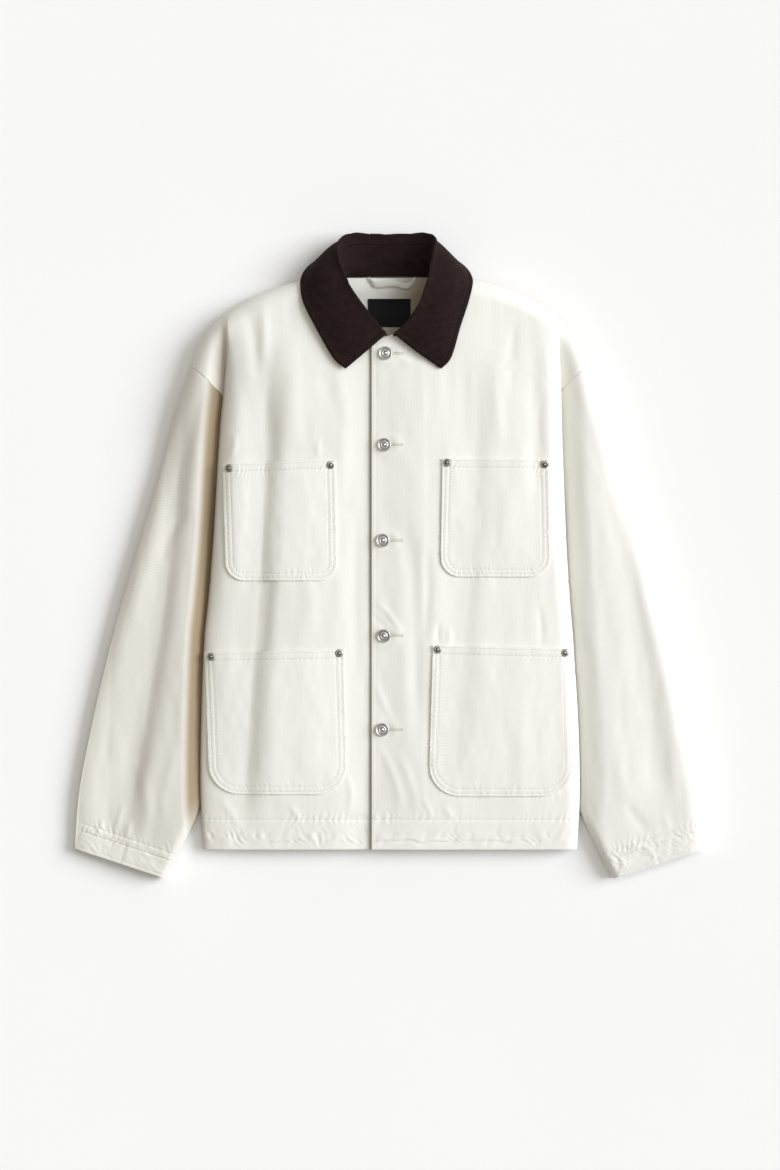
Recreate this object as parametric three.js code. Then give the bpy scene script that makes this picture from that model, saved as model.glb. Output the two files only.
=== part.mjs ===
// A cotton chore jacket with a corduroy collar, laid face up and softly filled.
// Millimetres. +X is the jacket's left side as it lies, +Y runs from hem to collar, +Z is up.
// The origin lies on the ground, in the middle of the outline.
import * as THREE from "three";

// Driving sizes
const cottonWall = 1.6;
const hemWall = 2.8;
const collarWall = 2.2;
const labelWall = 1;
const seamGap = 0.3;
const shoulderGap = 0.2;
const hiddenGap = 1.5;
const hemY = -354;
const hemDepth = 36;
const groundZ = cottonWall / 2;
const sideRadius = 26;
const rimRadius = 20;
const heelRadius = 14;
const sideSeamInset = 14;
const placketEdgeX = -21.5;
const underlapEdgeX = 10;
const placketTopY = 258;
const underarmY = 31;
const backNeckY = 336;
const flapGap = cottonWall + 1;
const hemFlapGap = 4;
const buttonDiameter = 16.5;
const rivetDiameter = 9.6;

// Half width of the filled body, from the middle line to its side fold
const bodyEdge = [
  { y: -354, left: 224, right: 226 },
  { y: -292, left: 227.5, right: 229 },
  { y: -210, left: 227, right: 227.5 },
  { y: -102, left: 223, right: 221 },
  { y: -53, left: 218, right: 217 },
  { y: 19, left: 212, right: 212.5 },
  { y: 152, left: 204, right: 207.5 },
  { y: 213, left: 198, right: 206 },
  { y: 250, left: 195, right: 203 },
  { y: 292, left: 195, right: 200 },
];

// Height of the filled front above the ground, from hem to neck
const crown = [
  { y: -354, z: 20 },
  { y: -325, z: 25 },
  { y: -270, z: 33 },
  { y: -150, z: 41 },
  { y: 0, z: 46 },
  { y: 140, z: 48 },
  { y: 230, z: 47 },
  { y: 290, z: 41 },
  { y: 337, z: 36 },
];

// Height of the sleeve's crest, and of the crevice between sleeve and body
const sleeveHeight = [
  { y: -390, crest: 18, crevice: 16 },
  { y: -340, crest: 21, crevice: 9 },
  { y: -290, crest: 24, crevice: 4.2 },
  { y: -100, crest: 28, crevice: 4.2 },
  { y: 0, crest: 29, crevice: 4.2 },
  { y: 45, crest: 29, crevice: 5 },
  { y: 100, crest: 29, crevice: 10 },
  { y: 175, crest: 30, crevice: 11 },
  { y: 230, crest: 31, crevice: 18 },
  { y: 292, crest: 36, crevice: 36 },
];

// Outline of one shoulder and sleeve, seen from above, from neck to cuff
const shoulderLine = [
  { x: 68, y: 336 },
  { x: 108, y: 331 },
  { x: 140, y: 322 },
  { x: 169, y: 310 },
  { x: 198, y: 292 },
  { x: 222, y: 266 },
  { x: 233, y: 245 },
  { x: 238, y: 228 },
];
const sleeveOuter = [
  { x: 238, y: 228 },
  { x: 257.5, y: 173 },
  { x: 279, y: 92 },
  { x: 315, y: -29 },
  { x: 338, y: -113 },
  { x: 358, y: -198 },
  { x: 374.5, y: -283 },
  { x: 380.3, y: -353.3 },
];
// The sleeve's inner fold runs under the body from the underarm and comes out above the cuff
const sleeveInner = [
  { x: 206, y: 31 },
  { x: 205, y: 12 },
  { x: 196, y: -15 },
  { x: 184, y: -60 },
  { x: 186, y: -150 },
  { x: 208, y: -250 },
  { x: 227, y: -300 },
  { x: 253, y: -355 },
  { x: 271, y: -389 },
];
// The armhole seam, from the underarm to the end of the shoulder seam
const armhole = [
  { x: 206, y: 31 },
  { x: 205, y: 70 },
  { x: 202, y: 120 },
  { x: 199, y: 165 },
  { x: 202, y: 190 },
  { x: 213, y: 204.5 },
  { x: 223, y: 215 },
  { x: 238, y: 228 },
];
// The neck seam of one side, from the middle front to the shoulder seam
const neckLine = [
  { x: 5, y: 263 },
  { x: 24, y: 273 },
  { x: 42, y: 290 },
  { x: 56, y: 309 },
  { x: 64, y: 325 },
  { x: 68, y: 336 },
];

// Large soft folds of the fronts and sleeves: troughs have a negative height
const folds = [
  { of: "front", x1: -142, y1: 212, x2: -147, y2: 60, x3: -172, y3: -300,
    height: -7, width: 17, fade: 60 },
  { of: "front", x1: -172, y1: 200, x2: -174, y2: 60, x3: -180, y3: -60,
    height: 3, width: 12, fade: 60 },
  { of: "front", x1: -22, y1: 250, x2: -14, y2: 0, x3: -16, y3: -340,
    height: -4.5, width: 34, fade: 60 },
  { of: "front", x1: 108, y1: 220, x2: 106, y2: 60, x3: 80, y3: -240,
    height: -3.5, width: 15, fade: 60 },
  { of: "front", x1: 24, y1: 20, x2: 30, y2: -60, x3: 34, y3: -200,
    height: -2, width: 11, fade: 40 },
  { of: "front", x1: 172, y1: 240, x2: 174, y2: 160, x3: 176, y3: 80,
    height: -2, width: 9, fade: 40 },
  { of: "left_sleeve", x1: -245, y1: 160, x2: -265, y2: -40, x3: -306, y3: -300,
    height: -5.5, width: 13, fade: 50 },
  { of: "right_sleeve", x1: 268, y1: 120, x2: 296, y2: -60, x3: 334, y3: -300,
    height: -3, width: 14, fade: 50 },
];

// The collar: its neck seam is the neck line; roll, leaf and outer edge in stations
// from the front end (0) to the middle of the back (1)
const collarRoll = [
  { s: 0, left: 4, right: 6, y: 267, z: 52.5 },
  { s: 0.14, left: 16, right: 20, y: 281, z: 56 },
  { s: 0.3, left: 31, right: 34, y: 300, z: 57.5 },
  { s: 0.45, left: 46, right: 43, y: 322, z: 57 },
  { s: 0.58, left: 55, right: 48, y: 341, z: 54 },
  { s: 0.65, left: 60, right: 51, y: 356, z: 49 },
  { s: 0.72, left: 63, right: 54, y: 371, z: 41 },
  { s: 0.79, left: 58, right: 55, y: 383.5, z: 31 },
  { s: 0.86, left: 44, right: 44, y: 389, z: 24 },
  { s: 0.93, left: 23, right: 23, y: 388.5, z: 20 },
  { s: 1, left: 0, right: 0, y: 387.5, z: 19 },
];
const collarLeaf = [
  { s: 0, left: 28, right: 32, y: 246, z: 52 },
  { s: 0.14, left: 42, right: 47, y: 258, z: 55 },
  { s: 0.3, left: 59, right: 63, y: 283, z: 55 },
  { s: 0.45, left: 75, right: 73, y: 309, z: 53 },
  { s: 0.58, left: 84, right: 78, y: 332, z: 48 },
  { s: 0.65, left: 87, right: 80, y: 347, z: 42 },
  { s: 0.72, left: 85, right: 78, y: 363, z: 32 },
  { s: 0.79, left: 73, right: 70, y: 376, z: 20 },
  { s: 0.86, left: 52, right: 52, y: 377, z: 11 },
  { s: 0.93, left: 26, right: 26, y: 372, z: 7 },
  { s: 1, left: 0, right: 0, y: 370, z: 5.5 },
];
const collarEdge = [
  { s: 0, left: 53, right: 62, y: 225, z: 50 },
  { s: 0.14, left: 68, right: 74, y: 239, z: 50 },
  { s: 0.3, left: 89, right: 85, y: 276, z: 48 },
  { s: 0.45, left: 104, right: 95, y: 307, z: 43 },
  { s: 0.58, left: 108, right: 101, y: 331, z: 31 },
  { s: 0.65, left: 105, right: 98, y: 344, z: 21 },
  { s: 0.72, left: 95, right: 89, y: 354, z: 11 },
  { s: 0.79, left: 78, right: 75, y: 354, z: 5.5 },
  { s: 0.86, left: 55, right: 54, y: 348, z: 3 },
  { s: 0.93, left: 28, right: 28, y: 342, z: 2 },
  { s: 1, left: 0, right: 0, y: 340, z: 1.6 },
];

// Patch pockets: outer corners on the jacket, with round lower corners
const pockets = [
  {
    name: "pocket_chest_left",
    left: -200, leftLow: -196.6, right: -66, rightLow: -63.5,
    topLeft: 111.3, topRight: 115.6, low: -29.6, corner: 22,
  },
  {
    name: "pocket_chest_right",
    left: 63.5, leftLow: 61, right: 190.6, rightLow: 193,
    topLeft: 116.8, topRight: 116, low: -25, corner: 24,
  },
  {
    name: "pocket_lower_left",
    left: -221.5, leftLow: -217, right: -55.7, rightLow: -52,
    topLeft: -116.2, topRight: -113, low: -286.8, corner: 36,
  },
  {
    name: "pocket_lower_right",
    left: 52, leftLow: 47, right: 217, rightLow: 221,
    topLeft: -107.5, topRight: -111.3, low: -289, corner: 38,
  },
];
const rivets = [
  { name: "rivet_chest_left_outer", x: -192.8, y: 105.5 },
  { name: "rivet_chest_left_inner", x: -70.8, y: 109.1 },
  { name: "rivet_chest_right_inner", x: 69.3, y: 112.2 },
  { name: "rivet_chest_right_outer", x: 186.7, y: 109.9 },
  { name: "rivet_lower_left_outer", x: -214.6, y: -121.4 },
  { name: "rivet_lower_left_inner", x: -60.5, y: -117 },
  { name: "rivet_lower_right_inner", x: 58, y: -112.5 },
  { name: "rivet_lower_right_outer", x: 211, y: -116.5 },
];
const buttons = [
  { name: "button_1", x: -5, y: 243.5 },
  { name: "button_2", x: -6.3, y: 133.6 },
  { name: "button_3", x: -8.3, y: 18.6 },
  { name: "button_4", x: -7, y: -96 },
  { name: "button_5", x: -9.1, y: -209.1 },
];

// Finishes
const cream = new THREE.MeshStandardMaterial({ color: 0xefeee6, roughness: 0.92, metalness: 0 });
const corduroy = new THREE.MeshStandardMaterial({ color: 0x2a1d1c, roughness: 0.95, metalness: 0 });
const blackLabel = new THREE.MeshStandardMaterial({ color: 0x121316, roughness: 0.6, metalness: 0 });
const silver = new THREE.MeshStandardMaterial({ color: 0xb9b7b4, roughness: 0.3, metalness: 1 });

// Number helpers
function mix(a, b, t) {
  return a + (b - a) * t;
}

function ease(from, to, at) {
  const t = Math.min(Math.max((at - from) / (to - from), 0), 1);
  return t * t * (3 - 2 * t);
}

// Quarter round: 0 at the rim, 1 once the distance reaches the radius
function quarter(distance, radius) {
  const t = Math.min(Math.max(distance / radius, 0), 1);
  return Math.sqrt(1 - (1 - t) * (1 - t));
}

// Reads one column of a table at any place, smoothly between its rows
function read(table, key, column, at) {
  const last = table.length - 1;
  const rising = table[last][key] > table[0][key];
  const rows = rising ? table : [...table].reverse();
  if (at <= rows[0][key]) return rows[0][column];
  if (at >= rows[last][key]) return rows[last][column];
  const i = rows.findIndex((row, k) => k < last && rows[k + 1][key] >= at);
  const slope = (k) => {
    const a = rows[Math.max(k - 1, 0)];
    const b = rows[Math.min(k + 1, last)];
    return (b[column] - a[column]) / (b[key] - a[key]);
  };
  const span = rows[i + 1][key] - rows[i][key];
  const t = (at - rows[i][key]) / span;
  const start = (2 * t * t * t - 3 * t * t + 1) * rows[i][column];
  const end = (3 * t * t - 2 * t * t * t) * rows[i + 1][column];
  const leave = (t * t * t - 2 * t * t + t) * span * slope(i);
  const arrive = (t * t * t - t * t) * span * slope(i + 1);
  return start + end + leave + arrive;
}

// A smooth plan curve through the rows of a table, read by its share of the length
function route(table) {
  return new THREE.SplineCurve(table.map((row) => new THREE.Vector2(row.x, row.y)));
}

const shoulderRoute = route(shoulderLine);
const outerRoute = route(sleeveOuter);
const innerRoute = route(sleeveInner);
const armholeRoute = route(armhole);
const neckRoute = route(neckLine);
const rimPoints = [...shoulderRoute.getSpacedPoints(40), ...outerRoute.getSpacedPoints(60)];
const innerPoints = innerRoute.getSpacedPoints(60);

// Plan distance from a point to a line of points
function distanceTo(points, x, y) {
  let nearest = Infinity;
  for (let i = 0; i < points.length - 1; i += 1) {
    const ax = points[i].x;
    const ay = points[i].y;
    const bx = points[i + 1].x - ax;
    const by = points[i + 1].y - ay;
    const length = bx * bx + by * by;
    const t = length === 0 ? 0 : Math.min(Math.max(((x - ax) * bx + (y - ay) * by) / length, 0), 1);
    nearest = Math.min(nearest, Math.hypot(x - ax - t * bx, y - ay - t * by));
  }
  return nearest;
}

function sideName(side) {
  return side < 0 ? "left" : "right";
}

// Sum of the soft folds of one piece at a place
function foldHeight(piece, x, y) {
  let sum = 0;
  for (const fold of folds.filter((entry) => entry.of === piece)) {
    const path = [
      { y: fold.y1, x: fold.x1 },
      { y: fold.y2, x: fold.x2 },
      { y: fold.y3, x: fold.x3 },
    ];
    const away = (x - read(path, "y", "x", y)) / fold.width;
    const lowEnd = ease(fold.y3 - fold.fade, fold.y3 + fold.fade, y);
    const highEnd = ease(fold.y1 + fold.fade, fold.y1 - fold.fade, y);
    sum += fold.height * Math.exp(-away * away) * lowEnd * highEnd;
  }
  return sum;
}

// Height of the sleeve and of the dropped shoulder, before their outer rim rounds down
function sleeveLevel(side, across, y) {
  const crest = read(sleeveHeight, "y", "crest", y);
  const crevice = read(sleeveHeight, "y", "crevice", y);
  const beyond = across - read(bodyEdge, "y", sideName(side), y);
  const fold = foldHeight(`${sideName(side)}_sleeve`, side * across, y);
  const open = ease(-10, 32, beyond);
  return crevice + (crest - crevice + fold) * open;
}

// Height of the filled body, with its side rounding down to half height at the side fold
function bodyLevel(side, across, y) {
  const edge = read(bodyEdge, "y", sideName(side), y);
  const share = Math.min(Math.abs(across) / edge, 1);
  const crowned = read(crown, "y", "z", y) * (1 - 0.1 * share * share);
  const full = crowned + foldHeight("front", side * across, y);
  const sideHeight = full * mix(0.55, 1, ease(205, 288, y));
  return mix(sideHeight, full, quarter(edge - across, sideRadius));
}

// Half height of the outer rim, where the upper and lower cloth meet
function rimHeight(y) {
  return (groundZ + read(sleeveHeight, "y", "crest", Math.min(y, 230))) / 2;
}

// Rounds an upper level down to the rim
function roundedTop(side, level, across, y) {
  const rim = quarter(distanceTo(rimPoints, across, y), rimRadius);
  return mix(rimHeight(y), level, rim);
}

// Height of the front's middle surface at a place on the jacket
function frontHeight(x, y) {
  const side = x < 0 ? -1 : 1;
  const across = Math.abs(x);
  const edge = read(bodyEdge, "y", sideName(side), y);
  const level = across <= edge ? bodyLevel(side, across, y) : sleeveLevel(side, across, y);
  return roundedTop(side, level, across, y);
}

// Point of the front's middle surface, and its upward normal
function frontPoint(x, y) {
  return new THREE.Vector3(x, y, frontHeight(x, y));
}

function frontNormal(x, y) {
  const step = 1.5;
  const dx = frontPoint(x + step, y).sub(frontPoint(x - step, y));
  const dy = frontPoint(x, y + step).sub(frontPoint(x, y - step));
  return dx.cross(dy).normalize();
}

// A cloth wall round a grid of points: rows run along the piece, columns across it.
// The wall lies half on each side of the points, and deeper on the inside where a hem is turned.
function clothShell(grid, wall, closedRound = false, innerDepth = () => wall / 2) {
  const rows = grid.length;
  const columns = grid[0].length;
  const at = (i, j) => {
    const row = Math.min(Math.max(i, 0), rows - 1);
    const column = closedRound ? (j + columns) % columns : Math.min(Math.max(j, 0), columns - 1);
    return grid[row][column];
  };
  const outer = [];
  const inner = [];
  for (let i = 0; i < rows; i += 1) {
    for (let j = 0; j < columns; j += 1) {
      const along = at(i + 1, j).clone().sub(at(i - 1, j));
      const across = at(i, j + 1).clone().sub(at(i, j - 1));
      const normal = across.cross(along).normalize();
      outer.push(grid[i][j].clone().addScaledVector(normal, wall / 2));
      inner.push(grid[i][j].clone().addScaledVector(normal, -innerDepth(i)));
    }
  }
  const points = [...outer, ...inner];
  const faces = [];
  const top = (i, j) => i * columns + ((j + columns) % columns);
  const under = (i, j) => rows * columns + top(i, j);
  const quad = (a, b, c, d) => faces.push(a, b, c, a, c, d);
  const lastColumn = closedRound ? columns : columns - 1;
  for (let i = 0; i < rows - 1; i += 1) {
    for (let j = 0; j < lastColumn; j += 1) {
      quad(top(i, j), top(i, j + 1), top(i + 1, j + 1), top(i + 1, j));
      quad(under(i, j), under(i + 1, j), under(i + 1, j + 1), under(i, j + 1));
    }
  }
  for (let j = 0; j < lastColumn; j += 1) {
    quad(under(0, j), under(0, j + 1), top(0, j + 1), top(0, j));
    quad(top(rows - 1, j), top(rows - 1, j + 1), under(rows - 1, j + 1), under(rows - 1, j));
  }
  if (!closedRound) {
    for (let i = 0; i < rows - 1; i += 1) {
      quad(top(i, 0), top(i + 1, 0), under(i + 1, 0), under(i, 0));
      quad(under(i, columns - 1), under(i + 1, columns - 1), top(i + 1, columns - 1), top(i, columns - 1));
    }
  }
  const geometry = new THREE.BufferGeometry();
  const numbers = points.flatMap((p) => [p.x, p.y, p.z]);
  geometry.setAttribute("position", new THREE.Float32BufferAttribute(numbers, 3));
  geometry.setIndex(faces);
  geometry.computeVertexNormals();
  return geometry;
}

// Turns a grid so that its outer face looks the right way on both sides of the jacket
function facing(grid, side) {
  return side > 0 ? grid : grid.map((row) => [...row].reverse());
}

// One ring of a sleeve at a share of its length: upper and lower points at a share across
function sleevePlan(length, share) {
  const outer = outerRoute.getPointAt(length);
  const inner = innerRoute.getPointAt(length);
  const straight = outer.clone().lerp(inner, share);
  const seam = armholeRoute.getPointAt(1 - share);
  const chord = outerRoute.getPointAt(0).lerp(innerRoute.getPointAt(0), share);
  const follow = Math.max(1 - length / 0.3, 0) ** 3;
  return straight.addScaledVector(seam.sub(chord), follow);
}

function sleevePoint(side, length, share, upper) {
  const place = sleevePlan(length, share);
  const level = sleeveLevel(side, place.x, place.y);
  const half = (level - groundZ) / 2;
  const rim = distanceTo(rimPoints, place.x, place.y);
  const armholeLength = 215;
  const inner = length === 0 ? (1 - share) * armholeLength : distanceTo(innerPoints, place.x, place.y);
  const innerRound = quarter(inner, Math.max(half, 3));
  const middle = mix(rimHeight(place.y), groundZ + half, quarter(rim, rimRadius));
  const top = mix(middle, level, innerRound * quarter(rim, rimRadius));
  const low = mix(middle, groundZ, innerRound * quarter(rim, heelRadius));
  return new THREE.Vector3(side * place.x, place.y, upper ? top : low);
}

// Steps along the armhole, from the underarm to the shoulder: front, back and sleeve share them
const armSteps = [0, 0.02, 0.07, 0.16, 0.27, 0.39, 0.51, 0.63, 0.74, 0.83, 0.9, 0.95, 0.98, 0.994, 1];
const sleeveHemStart = 0.936;
const sleeveLengths = [0, 0.035, 0.09, 0.16, 0.24, 0.33, 0.42, 0.51, 0.6, 0.69, 0.78, 0.86, 0.93];
sleeveLengths.push(sleeveHemStart, 0.99, 1);

function sleeve(side) {
  const grid = sleeveLengths.map((length) => {
    const upper = [...armSteps].reverse().map((arm) => sleevePoint(side, length, 1 - arm, true));
    const lower = armSteps.slice(1, -1).map((arm) => sleevePoint(side, length, 1 - arm, false));
    return [...upper, ...lower];
  });
  const hemRow = sleeveLengths.indexOf(sleeveHemStart);
  const depth = (i) => (i >= hemRow ? hemWall - cottonWall / 2 : cottonWall / 2);
  return clothShell(facing(grid, side), cottonWall, true, depth);
}

// Rows of the body panels: straight up to the underarm, then fanned out to the armhole's steps
const lowerRows = [-354, -319, -317, -285, -245, -205, -165, -125, -85, -45, -10, 28];
const upperRows = [
  { placket: 40, middle: 40 },
  { placket: 62, middle: 62 },
  { placket: 92, middle: 95 },
  { placket: 125, middle: 130 },
  { placket: 160, middle: 165 },
  { placket: 195, middle: 198 },
  { placket: 228, middle: 228 },
  { neck: 0, middle: 258 },
  { neck: 0.3, middle: 283 },
  { neck: 0.58, middle: 303 },
  { neck: 0.8, middle: 319 },
  { neck: 0.93, middle: 329.5 },
  { neck: 0.985, middle: 334.5 },
  { neck: 1, middle: 336 },
].map((row, k) => ({ ...row, arm: armSteps[k + 1] }));
const innerShares = [0, 0.065, 0.13, 0.195, 0.26, 0.325, 0.39, 0.455, 0.52, 0.585, 0.65, 0.715, 0.775];
innerShares.push(0.83, 0.875, 0.915, 0.95, 0.977, 0.993, 1);
const tailShares = [0.15, 0.35, 0.6, 0.8, 1];

function frontRowPlan(side, row) {
  const edgeX = side < 0 ? -underlapEdgeX : placketEdgeX;
  const neckShare = row.neck ?? -1;
  const neck = neckRoute.getPointAt(Math.max(neckShare, 0));
  const start = neckShare < 0 ? new THREE.Vector2(edgeX, row.placket) : neck;
  if (neckShare === 0) start.set(edgeX, placketTopY);
  const end = armholeEdge(row.arm);
  const bulge = row.placket !== undefined ? 0 : ease(-0.4, 1, neckShare);
  return (u) => {
    const chord = neckRoute.getPointAt(1).lerp(armholeRoute.getPointAt(1), u);
    const swell = shoulderRoute.getPointAt(u).sub(chord).multiplyScalar(bulge);
    return start.clone().lerp(end, u).add(swell);
  };
}

// From the side fold the front turns under, to the side seam or to the hidden armhole seam
function tailPoint(side, edge, y, foldZ, end, turn, t) {
  const reach = 9;
  const p1 = { d: 0, z: foldZ - (foldZ - end.z) * 0.75 };
  const p2 = { d: end.d + reach * Math.cos(turn), z: end.z + reach * Math.sin(turn) };
  const k = 1 - t;
  const d = 3 * k * t * t * p2.d + t * t * t * end.d + 3 * k * k * t * p1.d;
  const z = k * k * k * foldZ + 3 * k * k * t * p1.z + 3 * k * t * t * p2.z + t * t * t * end.z;
  return new THREE.Vector3(side * (edge + d), y, z);
}

// The side seam's place: just inside and below the side fold
const sideSeam = { d: -sideSeamInset, z: 8.5 };

// An armhole point of a body panel, drawn back from the seam, and a little more where it turns under
function armholeEdge(arm) {
  const along = armholeRoute.getTangentAt(arm);
  const gap = mix(hiddenGap, seamGap, ease(0.72, 0.85, arm));
  return armholeRoute.getPointAt(arm).add(new THREE.Vector2(-along.y, along.x).multiplyScalar(gap));
}

function lowerFrontRow(side, y) {
  const edge = read(bodyEdge, "y", sideName(side), y);
  const startX = side < 0 ? -underlapEdgeX : placketEdgeX;
  const row = innerShares.map((share) => {
    const across = mix(startX, edge, share);
    return new THREE.Vector3(side * across, y, frontLayerHeight(side, side * across, y));
  });
  const foldZ = row[row.length - 1].z;
  const end = { d: sideSeam.d + seamGap / 2, z: sideSeam.z };
  const tail = tailShares.map((t) => tailPoint(side, edge, y, foldZ, end, 0, t));
  return [...row, ...tail];
}

// The left front lies under the right one along the placket
function frontLayerHeight(side, x, y) {
  if (side > 0) return frontHeight(x, y);
  const drop = mix(hemFlapGap, flapGap, ease(hemY + hemDepth, hemY + hemDepth + 10, y));
  return frontHeight(x, y) - drop * ease(-46, -28, x);
}

function upperFrontRow(side, entry) {
  const plan = frontRowPlan(side, entry);
  const end = plan(1);
  const edgeAtEnd = read(bodyEdge, "y", sideName(side), end.y);
  if (end.x < edgeAtEnd) {
    const row = innerShares.map((share) => {
      const start = plan(0);
      const across = mix(start.x, edgeAtEnd, share);
      const y = mix(start.y, end.y, share);
      return new THREE.Vector3(side * across, y, frontLayerHeight(side, side * across, y));
    });
    const seam = sleevePoint(side, 0, 1 - entry.arm, true);
    const target = { d: end.x - edgeAtEnd, z: seam.z };
    const turn = Math.PI + 0.3;
    const foldZ = row[row.length - 1].z;
    const tail = tailShares.map((t) => tailPoint(side, edgeAtEnd, end.y, foldZ, target, turn, t));
    return [...row, ...tail];
  }
  let low = 0;
  let high = 1;
  for (let k = 0; k < 30; k += 1) {
    const middle = (low + high) / 2;
    const place = plan(middle);
    if (place.x < read(bodyEdge, "y", sideName(side), place.y)) low = middle;
    else high = middle;
  }
  const row = innerShares.map((share) => {
    const place = plan(share * low);
    return new THREE.Vector3(side * place.x, place.y, frontLayerHeight(side, side * place.x, place.y));
  });
  const tail = tailShares.map((t) => {
    const place = plan(mix(low, 1, t));
    const level = roundedTop(side, sleeveLevel(side, place.x, place.y), place.x, place.y);
    return new THREE.Vector3(side * place.x, place.y, level);
  });
  return [...row, ...tail];
}

// Deeper walls where the hem is turned up
function hemInnerDepth(i) {
  return i <= lowerRows.indexOf(-319) ? hemWall - cottonWall / 2 : cottonWall / 2;
}

function front(side) {
  const grid = [
    ...lowerRows.map((y) => lowerFrontRow(side, y)),
    ...upperRows.map((entry) => upperFrontRow(side, entry)),
  ];
  const shoulderEdge = grid[grid.length - 1];
  for (const point of shoulderEdge) point.z = rimHeight(point.y) + shoulderGap;
  return clothShell(facing(grid, side), cottonWall, false, hemInnerDepth);
}

// How far the back rises over the sleeves' inner folds, and over the collar's leaf at the neck
const sleeveRise = 5.8;
const neckRise = 5.2;

// Height of the back's middle surface: flat on the ground, raised over the sleeves' inner folds
// and over the collar leaf at the neck
function backHeight(across, y) {
  const strip = read(sleeveInner, "y", "x", Math.max(Math.min(y, 5), -300));
  const beside = ease(strip - 22, strip - 8, across);
  const overSleeve = sleeveRise * beside * ease(-345, -300, y) * ease(underarmY + 16, underarmY, y);
  const overLeaf = neckRise * ease(300, 326, y) * ease(96, 60, across);
  const rim = quarter(distanceTo(rimPoints, across, y), heelRadius);
  return mix(rimHeight(y), groundZ + Math.max(overSleeve, overLeaf), rim);
}

const backShares = [0, 0.14, 0.28, 0.42, 0.56, 0.68, 0.76, 0.83, 0.89, 0.94, 0.975, 1];

function lowerBackPoint(side, y, share) {
  const edge = read(bodyEdge, "y", sideName(side), y);
  const across = (edge + sideSeam.d - seamGap / 2) * share;
  const lift = ease(0.86, 1, share);
  return new THREE.Vector3(side * across, y, mix(backHeight(across, y), sideSeam.z, lift));
}

// Share of a back row that lies across the neck
const backNeckShare = 0.28;

// Plan of a back row: straight across the neck, then out to the armhole, swelling to the shoulder line
function backPlan(row, share) {
  const neckEnd = neckRoute.getPointAt(1);
  if (share < backNeckShare) {
    return new THREE.Vector2((neckEnd.x * share) / backNeckShare, row.middle);
  }
  const u = (share - backNeckShare) / (1 - backNeckShare);
  const chord = neckEnd.clone().lerp(armholeRoute.getPointAt(1), u);
  const swell = shoulderRoute.getPointAt(u).sub(chord).multiplyScalar(ease(150, 336, row.middle));
  return new THREE.Vector2(neckEnd.x, row.middle).lerp(armholeEdge(row.arm), u).add(swell);
}

function upperBackPoint(side, row, share) {
  const place = backPlan(row, share);
  const onShoulder = row.arm === 1 && share >= backNeckShare;
  const onArmhole = share === 1 && !onShoulder;
  let z = backHeight(place.x, place.y);
  if (onShoulder) z = rimHeight(place.y) - shoulderGap;
  if (onArmhole) z = sleevePoint(side, 0, 1 - row.arm, false).z;
  const below = 0.8 * ease(0.2, 0, row.arm) * share;
  return new THREE.Vector3(side * place.x, place.y, z - below);
}

// The shoulder line's height up the jacket at a distance from the middle
function shoulderAt(across) {
  return read(shoulderLine, "x", "y", across);
}

function back() {
  const width = (place) => [
    ...[...backShares].reverse().map((share) => place(1, share)),
    ...backShares.slice(1).map((share) => place(-1, share)),
  ];
  const grid = [
    ...lowerRows.map((y) => width((side, share) => lowerBackPoint(side, y, share))),
    ...upperRows.map((row) => width((side, share) => upperBackPoint(side, row, share))),
  ];
  return clothShell(grid, cottonWall, false, hemInnerDepth);
}

// Point of the collar's middle surface: station from front end to middle back, share from seam to edge
function collarSection(side, station) {
  const column = sideName(side);
  const from = (table) => {
    const x = side * read(table, "s", column, station);
    return new THREE.Vector3(x, read(table, "s", "y", station), read(table, "s", "z", station));
  };
  const seam = neckSeam(side, station);
  const roll = from(collarRoll);
  const leaf = from(collarLeaf);
  const edge = from(collarEdge);
  const rollTurn = Math.min(3.4, 0.36 * roll.distanceTo(seam));
  const outward = leaf.clone().sub(roll).setLength(rollTurn);
  const inward = seam.clone().sub(roll).setLength(rollTurn);
  const sideways = roll.clone().sub(seam.clone().lerp(leaf, 0.5)).setLength(rollTurn * 0.6);
  const curve = new THREE.CatmullRomCurve3(
    [
      seam,
      seam.clone().lerp(roll, 0.5),
      roll.clone().add(inward).sub(sideways),
      roll,
      roll.clone().add(outward).sub(sideways),
      leaf,
      edge,
    ],
    false,
    "centripetal",
  );
  return curve;
}

// The neck seam: along the fronts' neck line, then across the back's neck
function neckSeam(side, station) {
  const shoulderStation = 0.55;
  if (station <= shoulderStation) {
    const place = neckRoute.getPointAt(station / shoulderStation);
    const inset = seamGap + 0.6;
    const inwardX = place.x - inset;
    return new THREE.Vector3(side * inwardX, place.y + inset, frontHeight(side * place.x, place.y));
  }
  const share = (station - shoulderStation) / (1 - shoulderStation);
  const across = mix(neckLine[neckLine.length - 1].x - 1, 0, share);
  const z = mix(rimHeight(230), groundZ + neckRise, ease(0, 0.35, share));
  return new THREE.Vector3(side * across, backNeckY + seamGap + 1.5, z);
}

// Keeps the collar leaf clear above the fronts and shoulders
function clearOfFront(point) {
  const across = Math.abs(point.x);
  const neckHalf = neckLine[neckLine.length - 1].x;
  const shoulderEnd = across > neckHalf ? shoulderAt(across) + 2 : backNeckY + 1;
  const inShoulder = point.y < shoulderEnd && across > 4;
  if (!inShoulder || point.z < rimHeight(230)) return point;
  const slopeRoom = 2.6 + 1.6 * ease(22, 4, distanceTo(rimPoints, across, point.y));
  const below = frontHeight(point.x, Math.min(point.y, backNeckY));
  point.z = Math.max(point.z, below + slopeRoom);
  return point;
}

const collarStations = [0, 0.06, 0.14, 0.22, 0.3, 0.38, 0.46, 0.53, 0.59, 0.64, 0.69, 0.74];
collarStations.push(0.79, 0.84, 0.89, 0.945, 1);
const standShares = [0, 0.35, 0.7, 1];
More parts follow.
